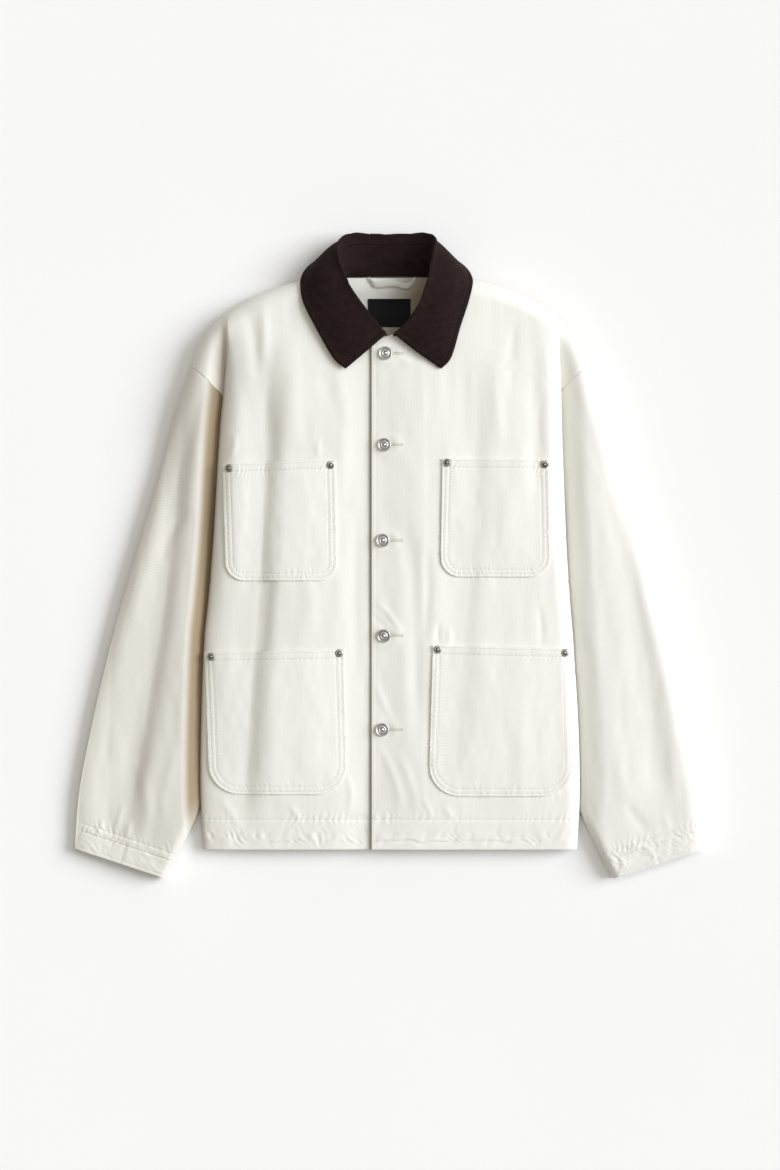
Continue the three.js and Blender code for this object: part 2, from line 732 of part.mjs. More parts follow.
// Share of the stand's height at which its seam to the leaf lies: low at the front ends
function standHeight(station) {
  return mix(0.4, 0.74, ease(0, 0.3, station));
}
const leafShares = [0, 0.1, 0.2, 0.34, 0.5, 0.66, 0.83, 1];

function collarGrid(shares, place) {
  const half = (side) =>
    collarStations.map((station) => {
      const curve = collarSection(side, station);
      const rollAt = rollShare(curve);
      const seamShare = rollAt * standHeight(station);
      return shares.map((share) => clearOfFront(curve.getPointAt(place(share, seamShare))));
    });
  const left = half(-1);
  const right = half(1).slice(0, -1).reverse();
  return [...left, ...right];
}

// Share of the section's length at which it reaches the roll
function rollShare(curve) {
  const lengths = curve.getLengths(60);
  const total = lengths[60];
  return lengths[30] / total;
}

function collarStand() {
  const grid = collarGrid(standShares, (share, seamShare) => share * seamShare);
  return clothShell(grid, collarWall);
}

function collarLeafPiece() {
  const gapShare = 0.012;
  const grid = collarGrid(leafShares, (share, seamShare) => mix(seamShare + gapShare, 1, share));
  return clothShell(grid, collarWall);
}

// A patch pocket: its columns are the front's own, and its points are the front's, moved out
function pocket(entry) {
  const side = entry.left < 0 ? -1 : 1;
  const lift = cottonWall + seamGap;
  const margin = 6;
  const middleY = (entry.topLeft + entry.low) / 2;
  const columnX = (share, y) => {
    const startX = side < 0 ? -underlapEdgeX : placketEdgeX;
    return side * mix(startX, read(bodyEdge, "y", sideName(side), y), share);
  };
  const clearOfSides = (share) => {
    const x = columnX(share, middleY);
    return x > entry.left + margin && x < entry.right - margin;
  };
  const inside = innerShares.filter(clearOfSides).sort((a, b) => side * (a - b));
  const ups = [0, 0.05, 0.14, 0.28, 0.46, 0.64, 0.82, 0.93, 1];
  const places = [-1, -0.5, ...inside, 2, 3];
  const grid = ups.map((up) =>
    places.map((place, column) => {
      const top = mix(entry.topLeft, entry.topRight, column / (places.length - 1));
      const leftAt = (y) => mix(entry.left, entry.leftLow, (top - y) / (top - entry.low));
      const rightAt = (y) => mix(entry.right, entry.rightLow, (top - y) / (top - entry.low));
      const xAt = (y) => {
        if (column === 0) return leftAt(y);
        if (column === places.length - 1) return rightAt(y);
        if (column === 1) return mix(leftAt(y), columnX(inside[0], y), 0.35);
        if (column === places.length - 2) return mix(rightAt(y), columnX(inside[inside.length - 1], y), 0.35);
        return columnX(place, y);
      };
      const lowX = xAt(entry.low);
      const fromCorner = Math.min(lowX - leftAt(entry.low), rightAt(entry.low) - lowX);
      const bottom = entry.low + entry.corner * (1 - quarter(fromCorner, entry.corner));
      const y = mix(bottom, top, up);
      const x = xAt(y);
      return frontPoint(x, y).addScaledVector(frontNormal(x, y), lift);
    }),
  );
  return clothShell(grid, cottonWall);
}

// A turned piece standing on the cloth, along the cloth's normal
function turnedPiece(profile, segments, place, normal) {
  const geometry = new THREE.LatheGeometry(profile.map((p) => new THREE.Vector2(p.r, p.h)), segments);
  geometry.applyQuaternion(new THREE.Quaternion().setFromUnitVectors(new THREE.Vector3(0, 1, 0), normal));
  geometry.translate(place.x, place.y, place.z);
  return geometry;
}

function button(entry) {
  const radius = buttonDiameter / 2;
  const profile = [
    { r: 0, h: 0 },
    { r: 3, h: 0 },
    { r: 3, h: 1.6 },
    { r: radius * 0.9, h: 2 },
    { r: radius, h: 2.8 },
    { r: radius * 0.93, h: 4 },
    { r: radius * 0.7, h: 3.5 },
    { r: radius * 0.3, h: 4.3 },
    { r: 0, h: 4.6 },
  ];
  const normal = frontNormal(entry.x + 0.01, entry.y);
  const place = frontPoint(entry.x, entry.y).addScaledVector(normal, cottonWall / 2 + seamGap + 0.2);
  return turnedPiece(profile, 16, place, normal);
}

function rivet(entry) {
  const radius = rivetDiameter / 2;
  const profile = [
    { r: 0, h: 0 },
    { r: radius, h: 0 },
    { r: radius, h: 0.5 },
    { r: radius * 0.6, h: 1.3 },
    { r: 0, h: 1.7 },
  ];
  const normal = frontNormal(entry.x, entry.y);
  const place = frontPoint(entry.x, entry.y).addScaledVector(normal, cottonWall * 1.5 + 2 * seamGap + 0.1);
  return turnedPiece(profile, 12, place, normal);
}

// The loop to hang the jacket by, a flat strip below the back neck
function hangerLoop() {
  const loopWidth = 7.5;
  const route3 = new THREE.CatmullRomCurve3([
    new THREE.Vector3(-25, 334.5, 7.4),
    new THREE.Vector3(-17, 327.5, 8.2),
    new THREE.Vector3(4, 329.5, 9.2),
    new THREE.Vector3(22, 327, 8.2),
    new THREE.Vector3(31, 334.5, 7.4),
  ]);
  const across = (p, share) => new THREE.Vector3(p.x, p.y + share * loopWidth * 0.7, p.z + 0.8 + share * 0.6);
  const grid = route3.getSpacedPoints(14).map((p) => [-0.5, 0, 0.5].map((share) => across(p, share)));
  return clothShell(grid, 1.2);
}

// The neck label, bare, lying on the inside of the back
function neckLabel() {
  const label = { left: -26, right: 25.4, low: 277, top: 311 };
  const shares = [0, 0.25, 0.5, 0.75, 1];
  const lift = cottonWall / 2 + seamGap + labelWall / 2;
  const grid = shares.map((up) =>
    shares.map((share) => {
      const x = mix(label.left, label.right, share);
      const y = mix(label.low, label.top, up);
      return new THREE.Vector3(x, y, backHeight(Math.abs(x), y) + lift + 0.25);
    }),
  );
  return clothShell(grid, labelWall);
}

const jacket = new THREE.Group();

function add(name, geometry, material) {
  const mesh = new THREE.Mesh(geometry, material);
  mesh.name = name;
  jacket.add(mesh);
}

add("back", back(), cream);
add("front_left", front(-1), cream);
add("front_right", front(1), cream);
add("sleeve_left", sleeve(-1), cream);
add("sleeve_right", sleeve(1), cream);
add("collar_stand", collarStand(), corduroy);
add("collar_leaf", collarLeafPiece(), corduroy);
add("hanger_loop", hangerLoop(), cream);
add("neck_label", neckLabel(), blackLabel);
for (const entry of pockets) add(entry.name, pocket(entry), cream);
for (const entry of buttons) add(entry.name, button(entry), silver);
for (const entry of rivets) add(entry.name, rivet(entry), silver);

export default jacket;
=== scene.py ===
# %% [markdown]
# A cotton chore jacket laid face up on a pale floor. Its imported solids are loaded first, and each of
# their nodes is replaced here by a finer piece in the same place. All lengths are worked out in
# millimetres, as a pattern cutter would, and are turned into metres when a mesh is made.

import math

import bpy
import numpy as np
from mathutils import Matrix, Vector
from mathutils.bvhtree import BVHTree


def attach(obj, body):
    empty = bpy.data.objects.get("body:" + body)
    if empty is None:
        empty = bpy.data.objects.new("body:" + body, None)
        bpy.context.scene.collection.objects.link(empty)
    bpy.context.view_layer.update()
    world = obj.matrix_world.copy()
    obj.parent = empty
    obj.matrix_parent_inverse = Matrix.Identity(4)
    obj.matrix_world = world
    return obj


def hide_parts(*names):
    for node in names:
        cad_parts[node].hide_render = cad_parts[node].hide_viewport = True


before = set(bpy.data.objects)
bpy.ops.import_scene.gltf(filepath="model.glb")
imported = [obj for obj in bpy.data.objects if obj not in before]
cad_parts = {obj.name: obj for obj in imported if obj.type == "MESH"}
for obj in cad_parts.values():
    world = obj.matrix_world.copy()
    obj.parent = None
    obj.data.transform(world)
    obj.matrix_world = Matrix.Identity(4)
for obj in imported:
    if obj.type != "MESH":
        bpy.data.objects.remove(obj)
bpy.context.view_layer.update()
bpy.ops.object.select_all(action="DESELECT")

# %% [markdown]
# The camera looks straight down, as in the photo. A long lens from far above keeps the sleeves and
# the body at one scale. The view is 1416 mm high, and the jacket lies a little above its middle.

# %% Camera
MM = 0.001
PHOTO_SCALE, PHOTO_HEIGHT = 1.21, 1170
VIEW_CENTRE = (0.6, -35.0)
CAMERA_HEIGHT, SENSOR = 7.0, 36.0


def put(name, data):
    """A new object in the scene, for a mesh, a camera or a light."""
    made = bpy.data.objects.new(name, data)
    bpy.context.scene.collection.objects.link(made)
    return made


view = bpy.data.cameras.new("overhead")
view.sensor_width = SENSOR
view.lens = SENSOR * CAMERA_HEIGHT / (PHOTO_HEIGHT * PHOTO_SCALE * MM)
camera = put("overhead", view)
camera.location = (VIEW_CENTRE[0] * MM, VIEW_CENTRE[1] * MM, CAMERA_HEIGHT)
bpy.context.scene.camera = camera
print("lens", round(view.lens, 1), "mm")

# %% [markdown]
# Small helpers come first. `ease` rises smoothly from 0 to 1, `quarter` is a quarter of a circle,
# `bell` is a round hump, `bend` is a curve with given slopes at its ends, and `read` looks up a
# column of a table between its rows. They work on whole arrays at once, so a panel with forty
# thousand points takes a fraction of a second.

# %% Number helpers
def mix(a, b, t):
    return a + (b - a) * t


def ease(start, end, at):
    t = np.clip((np.asarray(at, float) - start) / (end - start), 0, 1)
    return t * t * (3 - 2 * t)


def quarter(distance, radius):
    t = np.clip(distance / radius, 0, 1)
    return np.sqrt(1 - (1 - t) ** 2)


def bell(off, width):
    return np.exp(-((off / width) ** 2))


def bend(start, end, leave, arrive, t):
    curve = (2 * start - 2 * end + leave + arrive) * t**3
    return curve + (3 * end - 3 * start - 2 * leave - arrive) * t**2 + leave * t + start


def crowded(count, even, ends=0.0, last=0.0):
    """Steps from 0 to 1 that crowd towards both ends or towards the last one, by their shares."""
    t = np.linspace(0, 1, count)
    return even * t + ends * (0.5 - 0.5 * np.cos(math.pi * t)) + last * np.sin(t * math.pi / 2)


def columns(names, rows):
    return dict(zip(names.split(), np.array(rows, float).T))


def read(table, key, column, at):
    knots, values = table[key], table[column]
    if knots[0] > knots[-1]:
        knots, values = knots[::-1], values[::-1]
    last = len(knots) - 1
    before = np.maximum(np.arange(last + 1) - 1, 0)
    after = np.minimum(np.arange(last + 1) + 1, last)
    slopes = (values[after] - values[before]) / (knots[after] - knots[before])
    at = np.clip(at, knots[0], knots[-1])
    i = np.clip(np.searchsorted(knots, at) - 1, 0, last - 1)
    span = knots[i + 1] - knots[i]
    t = (at - knots[i]) / span
    level = (2 * t**3 - 3 * t**2 + 1) * values[i] + (3 * t**2 - 2 * t**3) * values[i + 1]
    return level + (t**3 - 2 * t**2 + t) * span * slopes[i] + (t**3 - t**2) * span * slopes[i + 1]


class Route:
    """A smooth plan line through a few points, read by its share of the length."""

    def __init__(self, rows, steps=60):
        given = np.array(rows, float)
        held = np.vstack([given[:1], given, given[-1:]])
        t = np.linspace(0, 1, steps, endpoint=False)[:, None]
        parts = []
        for k in range(len(given) - 1):
            a, b, c, d = held[k : k + 4]
            parts.append(bend(b, c, (c - a) / 2, (d - b) / 2, t))
        self.points = np.vstack([*parts, given[-1:]])
        lengths = np.hypot(*np.diff(self.points, axis=0).T)
        self.length = lengths.sum()
        self.share = np.concatenate([[0], np.cumsum(lengths)]) / self.length

    def at(self, share):
        return np.stack([np.interp(share, self.share, self.points[:, k]) for k in (0, 1)], -1)

    def tangent(self, share):
        ahead = self.at(np.minimum(np.asarray(share) + 0.004, 1))
        step = ahead - self.at(np.maximum(np.asarray(share) - 0.004, 0))
        return step / np.linalg.norm(step, axis=-1, keepdims=True)


def nearest_on(line, x, y):
    """Distance from each place to a line of points, and how far along the line it is, in mm."""
    flat = np.column_stack([np.ravel(x), np.ravel(y)])
    best = np.full(len(flat), np.inf)
    along = np.zeros(len(flat))
    passed = 0.0
    for a, step in zip(line[:-1], np.diff(line, axis=0)):
        long = math.hypot(*step)
        if long == 0:
            continue
        t = np.clip((flat - a) @ step / long**2, 0, 1)
        away = flat - a - t[:, None] * step
        distance = np.hypot(away[:, 0], away[:, 1])
        closer = distance < best
        best = np.where(closer, distance, best)
        along = np.where(closer, passed + t * long, along)
        passed += long
    return best.reshape(np.shape(x)), along.reshape(np.shape(x))


# %% [markdown]
# Real cloth is never quite even. `drift` is a soft random height over a plane, from a grid of
# seeded random numbers, and `waver` is the same along a line. The seeds make every run alike.

# %% Seeded unevenness
def waver(at, step, seed):
    knots = np.random.default_rng(seed).uniform(-1, 1, 400)
    place = np.asarray(at, float) / step + 200
    i = np.clip(np.floor(place).astype(int), 0, 398)
    t = ease(0, 1, place - i)
    return mix(knots[i], knots[i + 1], t)


def drift(x, y, step_x, step_y, seed):
    knots = np.random.default_rng(seed).uniform(-1, 1, (220, 220))
    px, py = np.asarray(x) / step_x + 110, np.asarray(y) / step_y + 110
    i, j = np.floor(px).astype(int), np.floor(py).astype(int)
    i, j = np.clip(i, 0, 218), np.clip(j, 0, 218)
    tx, ty = ease(0, 1, px - i), ease(0, 1, py - j)
    low = mix(knots[i, j], knots[i + 1, j], tx)
    high = mix(knots[i, j + 1], knots[i + 1, j + 1], tx)
    return mix(low, high, ty)


# %% [markdown]
# The sizes of the laid jacket are the ones its solids were made from: how wide the filled body is,
# how high its front and sleeves stand, and where the shoulder, sleeve, armhole and neck lines run
# when you look straight down. The large folds, the slope of the left sleeve and the roundness of
# the body's sides differ from the solids, to catch the light as in the photo: by up to 11 mm on
# the left sleeve and the left side of the body, and by up to 7 mm elsewhere.

# %% Sizes of the laid jacket
COTTON, HEM_CLOTH, CORDUROY = 1.6, 2.8, 2.2
HEM_Y, HEM_DEPTH = -354.0, 36.0
GROUND = COTTON / 2
SHADE_SIDE, LIT_SIDE, RIM_RADIUS, HEEL_RADIUS = 34.0, 18.0, 20.0, 14.0
PLACKET_EDGE, UNDERLAP_EDGE, PLACKET_TOP = -21.5, 10.0, 258.0
UNDERARM_Y, ARM_TOP_Y, BACK_NECK_Y = 31.0, 230.0, 336.0
SEAM_GAP, HIDDEN_GAP = 0.3, 1.5
SIDE_SEAM_IN, SIDE_SEAM_Z = 14.0, 8.5
OVER_SLEEVE, OVER_LEAF = 5.8, 5.2

body_edge = columns("y left right", [
    (-354, 224, 226), (-292, 227.5, 229), (-210, 227, 227.5), (-102, 223, 221), (-53, 218, 217),
    (19, 212, 212.5), (152, 204, 207.5), (213, 198, 206), (250, 195, 203), (292, 195, 200),
])
crown = columns("y z", [
    (-354, 20), (-325, 25), (-270, 33), (-150, 41), (0, 46), (140, 48), (230, 47), (290, 41), (337, 36),
])
sleeve_height = columns("y crest crevice", [
    (-390, 18, 16), (-340, 21, 9), (-290, 24, 4.2), (-100, 28, 4.2), (0, 29, 4.2), (45, 29, 5),
    (100, 29, 10), (175, 30, 11), (230, 31, 18), (292, 36, 36),
])
shoulder_rows = [
    (68, 336), (108, 331), (140, 322), (169, 310), (198, 292), (222, 266), (233, 245), (238, 228),
]
outer_rows = [
    (238, 228), (257.5, 173), (279, 92), (315, -29), (338, -113), (358, -198), (374.5, -283),
    (380.3, -353.3),
]
inner_rows = [
    (206, 31), (205, 12), (196, -15), (184, -60), (186, -150), (208, -250), (227, -300),
    (253, -355), (271, -389),
]
armhole_rows = [
    (206, 31), (205, 70), (202, 120), (199, 165), (202, 190), (213, 204.5), (223, 215), (238, 228),
]
neck_rows = [(5, 263), (24, 273), (42, 290), (56, 309), (64, 325), (68, 336)]

shoulder_route, outer_route = Route(shoulder_rows), Route(outer_rows)
inner_route, armhole_route = Route(inner_rows), Route(armhole_rows)
neck_route = Route(neck_rows)
every_few = np.linspace(0, 1, 70)
rim_line = np.vstack([shoulder_route.at(every_few), outer_route.at(every_few)])
inner_line = inner_route.at(every_few)

# Large folds: three points down the fold, its height, its width on the left and the right side,
# and how far its ends fade out
folds = {
    "front": [
        (-150, 212, -153, 60, -176, -300, -7.5, 56, 15, 60),
        (-206, -20, -214, -150, -214, -300, -4, 30, 34, 70),
        (-22, 250, -14, 0, -16, -340, -4.5, 62, 34, 60),
        (103, 220, 101, 60, 78, -240, -2.4, 36, 14, 60),
        (24, 20, 30, -60, 34, -200, -2, 11, 11, 40),
        (172, 240, 174, 160, 176, 80, -1.6, 9, 9, 40),
    ],
    "left_sleeve": [(-250, 160, -270, -40, -313, -300, -5.5, 34, 12, 50)],
    "right_sleeve": [(268, 120, 296, -60, 334, -300, -3, 20, 14, 50)],
}
print("shoulder", round(shoulder_route.length), "mm, sleeve", round(outer_route.length), "mm")


# %% [markdown]
# The heights follow. The body is a low dome with rounded sides, the sleeve is a flatter tube that
# dips into a crevice beside the body, and both round down to the outer rim at half their height.

# %% Heights of the filled jacket
def fold_height(piece, x, y):
    total = np.zeros(np.shape(x))
    for x1, y1, x2, y2, x3, y3, height, left, right, fade in folds[piece]:
        path = columns("y x", [(y1, x1), (y2, x2), (y3, x3)])
        away = x - read(path, "y", "x", y)
        ends = ease(y3 - fade, y3 + fade, y) * ease(y1 + fade, y1 - fade, y)
        total = total + height * bell(away, np.where(away < 0, left, right)) * ends
    return total


def edge_at(x, y):
    return np.where(np.asarray(x) < 0, read(body_edge, "y", "left", y), read(body_edge, "y", "right", y))


def sleeve_level(x, y):
    crest = read(sleeve_height, "y", "crest", y)
    crevice = read(sleeve_height, "y", "crevice", y)
    beyond = np.abs(x) - edge_at(x, y)
    on_left = np.asarray(x) < 0
    fold = np.where(on_left, fold_height("left_sleeve", x, y), fold_height("right_sleeve", x, y))
    crevice = np.where(on_left, crevice, mix(crevice, np.maximum(crevice, 14), ease(-2, 8, beyond)))
    tilt = np.where(on_left, 3.2 - 0.135 * np.clip(beyond - 22, 0, 90), 0)
    tilt = tilt * ease(230, 190, y) * ease(-392, -330, y)
    rise = np.where(on_left, ease(-11, 24, beyond), ease(-10, 32, beyond))
    return crevice + (crest - crevice + fold + tilt) * rise


def body_level(x, y):
    edge = edge_at(x, y)
    share = np.minimum(np.abs(x) / edge, 1)
    full = read(crown, "y", "z", y) * (1 - 0.1 * share**2) + fold_height("front", x, y)
    side = full * mix(0.55, 1, ease(205, 288, y))
    return mix(side, full, quarter(edge - np.abs(x), np.where(x < 0, SHADE_SIDE, LIT_SIDE)))


def rim_height(y):
    return (GROUND + read(sleeve_height, "y", "crest", np.minimum(y, ARM_TOP_Y))) / 2


def rounded_top(level, x, y):
    rim = nearest_on(rim_line, np.abs(x), y)[0]
    return mix(rim_height(y), level, quarter(rim, RIM_RADIUS))


def front_height(x, y):
    level = np.where(np.abs(x) <= edge_at(x, y), body_level(x, y), sleeve_level(x, y))
    return rounded_top(level, x, y)


def front_layer(side, x, y):
    """The left front lies under the right one along the button edge."""
    if side > 0:
        return front_height(x, y)
    drop = mix(4.0, COTTON + 1, ease(HEM_Y + HEM_DEPTH, HEM_Y + HEM_DEPTH + 10, y))
    return front_height(x, y) - drop * ease(-68, -26, x)


print("crown at the chest", round(float(front_height(np.array([-60.0]), np.array([60.0]))[0]), 1), "mm")


# %% [markdown]
# Puckers are the small ridges that a seam draws up when it is sewn through folded cloth. They cross
# the seam, lean to one side, are never evenly spaced, and fade within a centimetre. One function
# makes them for every seam, from the distance along it and the distance away from it.

# %% Puckers and creases
def puckers(along, off, pitch, height, lean, before, after, seed):
    """Ridges across a seam: `before` and `after` are how far they reach on its two sides."""
    shift = waver(along, pitch * 2.3, seed) + 0.8 * drift(along, off, pitch * 1.7, 5, seed + 9)
    place = along + lean * off + 0.5 * pitch * shift
    ridge = np.cos(2 * math.pi * place / pitch)
    ridge = np.where(ridge > 0, ridge, 0.6 * ridge)
    patch = 0.7 * waver(along, pitch * 3.1, seed + 1) + 0.6 * drift(along, off, pitch * 1.3, 7, seed + 10)
    reach = bell(off, np.where(off < 0, before, after))
    return height * ridge * np.clip(0.5 + patch, 0, 1.3) * reach


def groove(off, depth, width):
    return -depth * bell(off, width)


def crease(x, y, path, height, width):
    """One ridge or trough along a given line, fading at both ends."""
    line = Route(path, 12)
    distance, along = nearest_on(line.points, x, y)
    ends = np.sin(math.pi * np.clip(along / line.length, 0, 1)) ** 0.6
    return height * bell(distance, width) * ends


# %% [markdown]
# Every cloth panel starts as Blender's grid primitive. Its vertices are moved to the panel's own
# rows and columns, it gets a UV map in real metres so that the weave runs with the threads, and
# Solidify gives it the cloth's thickness. Moving a ready grid keeps the faces in clean rows, which
# a sculpted or simulated mesh would not.

# %% Cloth panels from a grid
def surface_normals(points):
    across = np.gradient(points, axis=1)
    along = np.gradient(points, axis=0)
    normal = np.cross(across, along)
    return normal / np.maximum(np.linalg.norm(normal, axis=2, keepdims=True), 1e-9)


def cloth_lengths(points):
    """Arc lengths over the cloth: across each row and down each column, in mm."""
    across = np.linalg.norm(np.diff(points, axis=1), axis=2)
    along = np.linalg.norm(np.diff(points, axis=0), axis=2)
    u = np.concatenate([np.zeros((len(points), 1)), np.cumsum(across, axis=1)], axis=1)
    v = np.concatenate([np.zeros((1, points.shape[1])), np.cumsum(along, axis=0)], axis=0)
    return u, v


def cut_size(points):
    """The flat cut of a panel: its width, length and area in metres."""
    u, v = cloth_lengths(points)
    a, b = points[1:, 1:] - points[:-1, :-1], points[1:, :-1] - points[:-1, 1:]
    area = np.linalg.norm(np.cross(a, b), axis=2).sum() / 2
    width, length = u[:, -1].max() * MM, v[-1].max() * MM
    return width, length, min(area * MM * MM, 0.999 * width * length)


def apply_all(piece):
    bpy.context.view_layer.objects.active = piece
    for name in [modifier.name for modifier in piece.modifiers]:
        bpy.ops.object.modifier_apply(modifier=name)


def panel(name, points, uv, wall, offset=0.0, inner=None, closed=False, round_edge=0.45):
    """A cloth wall on a grid of middle points (rows, columns, 3), in millimetres.

    `inner` gives the share of the wall's thickness at each point, and `closed` joins a tube.
    """
    rows, cols = points.shape[:2]
    bpy.ops.mesh.primitive_grid_add(x_subdivisions=cols - 1, y_subdivisions=rows - 1, size=1)
    piece = bpy.context.object
    piece.name = piece.data.name = name
    mesh = piece.data
    start = np.zeros(len(mesh.vertices) * 3)
    mesh.vertices.foreach_get("co", start)
    start = start.reshape(-1, 3) + 0.5
    column = np.rint(start[:, 0] * (cols - 1)).astype(int)
    row = np.rint(start[:, 1] * (rows - 1)).astype(int)
    mesh.vertices.foreach_set("co", (points[row, column] * MM).ravel())
    corner = np.zeros(len(mesh.loops), int)
    mesh.loops.foreach_get("vertex_index", corner)
    mesh.uv_layers[0].data.foreach_set("uv", (uv[row[corner], column[corner]] * MM).ravel())
    if closed:
        bpy.ops.object.mode_set(mode="EDIT")
        bpy.ops.mesh.select_all(action="SELECT")
        bpy.ops.mesh.remove_doubles(threshold=0.00002)
        bpy.ops.object.mode_set(mode="OBJECT")
    solid = piece.modifiers.new("wall", "SOLIDIFY")
    solid.thickness = wall * MM
    solid.offset = offset
    solid.use_even_offset = False
    if inner is not None:
        deep = piece.vertex_groups.new(name="turned")
        for value in np.unique(np.round(inner, 2)):
            picked = np.nonzero(np.round(inner[row, column], 2) == value)[0]
            deep.add(picked.tolist(), float(value), "REPLACE")
        solid.vertex_group = "turned"
    if round_edge:
        bevel = piece.modifiers.new("edges", "BEVEL")
        bevel.width = round_edge * MM
        bevel.segments = 2
        bevel.limit_method = "ANGLE"
        bevel.angle_limit = math.radians(60)
    apply_all(piece)
    bpy.ops.object.shade_smooth()
    piece.select_set(False)
    return piece


def dress(piece, nodes, material):
    """Puts a finished piece in the place of its nodes and material."""
    piece.data.materials.clear()
    piece.data.materials.append(material)
    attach(piece, "root")
    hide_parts(*nodes)


def lay(piece, points, nodes, material, layers=1):
    """Dresses a panel, and says how it was cut."""
    dress(piece, nodes, material)
    width, length, area = cut_size(points)
    layers * length
    print(piece.name, "cut", round(width, 3), round(length, 3), "faces", len(piece.data.polygons))


# %% [markdown]
# Shader maths reads best as plain Python. `Wire` holds a socket of a node, and the operators on it
# add the Math nodes. `Finish` starts a material and has one method that makes any other node.

# %% A small class for shader maths
class Wire:
    def __init__(self, finish, socket):
        self.finish, self.socket = finish, socket

    def math(self, operation, *values):
        return self.finish.node("ShaderNodeMath", {"operation": operation}, dict(enumerate(values)))

    def __add__(self, other):
        return self.math("ADD", self, other)

    def __sub__(self, other):
        return self.math("SUBTRACT", self, other)

    def __rsub__(self, other):
        return self.math("SUBTRACT", other, self)

    def __mul__(self, other):
        return self.math("MULTIPLY", self, other)

    __radd__ = __add__
    __rmul__ = __mul__


class Finish:
    def __init__(self, name, roughness, metallic=0.0, sheen=0.0):
        self.material = bpy.data.materials.new(name)
        self.material.use_nodes = True
        self.tree = self.material.node_tree
        self.shader = self.tree.nodes["Principled BSDF"]
        self.set("Roughness", roughness)
        self.set("Metallic", metallic)
        self.set("Sheen Weight", sheen)

    def set(self, socket, value):
        if isinstance(value, Wire):
            self.tree.links.new(value.socket, self.shader.inputs[socket])
        else:
            self.shader.inputs[socket].default_value = value

    def node(self, kind, settings=None, sockets=None, output=0):
        made = self.tree.nodes.new(kind)
        for key, value in (settings or {}).items():
            setattr(made, key, value)
        for key, value in (sockets or {}).items():
            if isinstance(value, Wire):
                self.tree.links.new(value.socket, made.inputs[key])
            else:
                made.inputs[key].default_value = value
        return Wire(self, made.outputs[output])

    def place(self, kind):
        """Where the surface is: its own UV map in metres, or the object's coordinates."""
        return self.node("ShaderNodeTexCoord", output={"uv": 2, "object": 3}[kind])

    def stretched(self, vector, scale, turn=0.0):
        sockets = {"Vector": vector, "Scale": scale, "Rotation": (0, 0, turn)}
        return self.node("ShaderNodeMapping", sockets=sockets)

    def noise(self, vector, detail=2.0):
        return self.node("ShaderNodeTexNoise", sockets={"Vector": vector, "Scale": 1.0, "Detail": detail})

    def bands(self, vector, distortion=0.0):
        settings = {"wave_type": "BANDS", "bands_direction": "X", "wave_profile": "SIN"}
        sockets = {"Vector": vector, "Scale": 1.0, "Distortion": distortion, "Detail": 1.0}
        return self.node("ShaderNodeTexWave", settings, sockets)

    def blend(self, factor, first, second):
        sockets = {0: factor, 6: (*first, 1) if isinstance(first, tuple) else first}
        sockets[7] = (*second, 1) if isinstance(second, tuple) else second
        return self.node("ShaderNodeMix", {"data_type": "RGBA"}, sockets, output=2)

    def bump(self, height, strength, distance):
        sockets = {"Height": height, "Strength": strength, "Distance": distance}
        self.set("Normal", self.node("ShaderNodeBump", sockets=sockets))


# %% [markdown]
# The cotton is an undyed twill: off-white, matt, with fine slubs along the warp. Its own colour
# moves by a few hundredths only, and a weave too fine to model is bump. Shade is painted into the
# base colour through an attribute: a dark tan in the crevices beside the body, under the button edge
# and inside the neck, and a faint shade over the left sleeve and the left front.

# %% Cotton
def cotton_finish(name, turn=0.0):
    finish = Finish(name, 0.92, sheen=0.12)
    place = finish.place("uv")
    slub = finish.noise(finish.stretched(place, (800, 36, 1)), 3)
    cloud = finish.noise(finish.stretched(place, (28, 9, 1)), 2)
    twill = finish.bands(finish.stretched(place, (190, 190, 1), math.radians(58) + turn), 0.6)
    streak = finish.noise(finish.stretched(place, (330, 11, 1)), 2)
    tone = slub * 0.4 + cloud * 0.3 + streak * 0.3
    colour = finish.blend(tone, (0.85, 0.842, 0.79), (0.91, 0.903, 0.866))
    # Painted shade: this attribute blends the cloth towards a dark tan where shadow falls.
    painted_shade_share = finish.node("ShaderNodeAttribute", {"attribute_name": "painted_shade"}, output=2)
    finish.set("Base Color", finish.blend(painted_shade_share, colour, (0.32, 0.245, 0.155)))
    finish.bump(twill * 0.5 + slub * 0.7 + cloud * 0.5 + streak * 0.35, 0.4, 0.0004)
    return finish.material


cotton = cotton_finish("ecru_twill")

# %% [markdown]
# Corduroy is a pile in ridges, the wales. They lie level across this collar, about 2.3 mm apart.
# The base colour paints the channels between the wales darker than the pile's tips, a painted shade,
# mixed with a random mottling of the nap. A band of the wave texture is a tenth of pi wide, which
# the scale allows for.

# %% Corduroy
WALE = 2.3


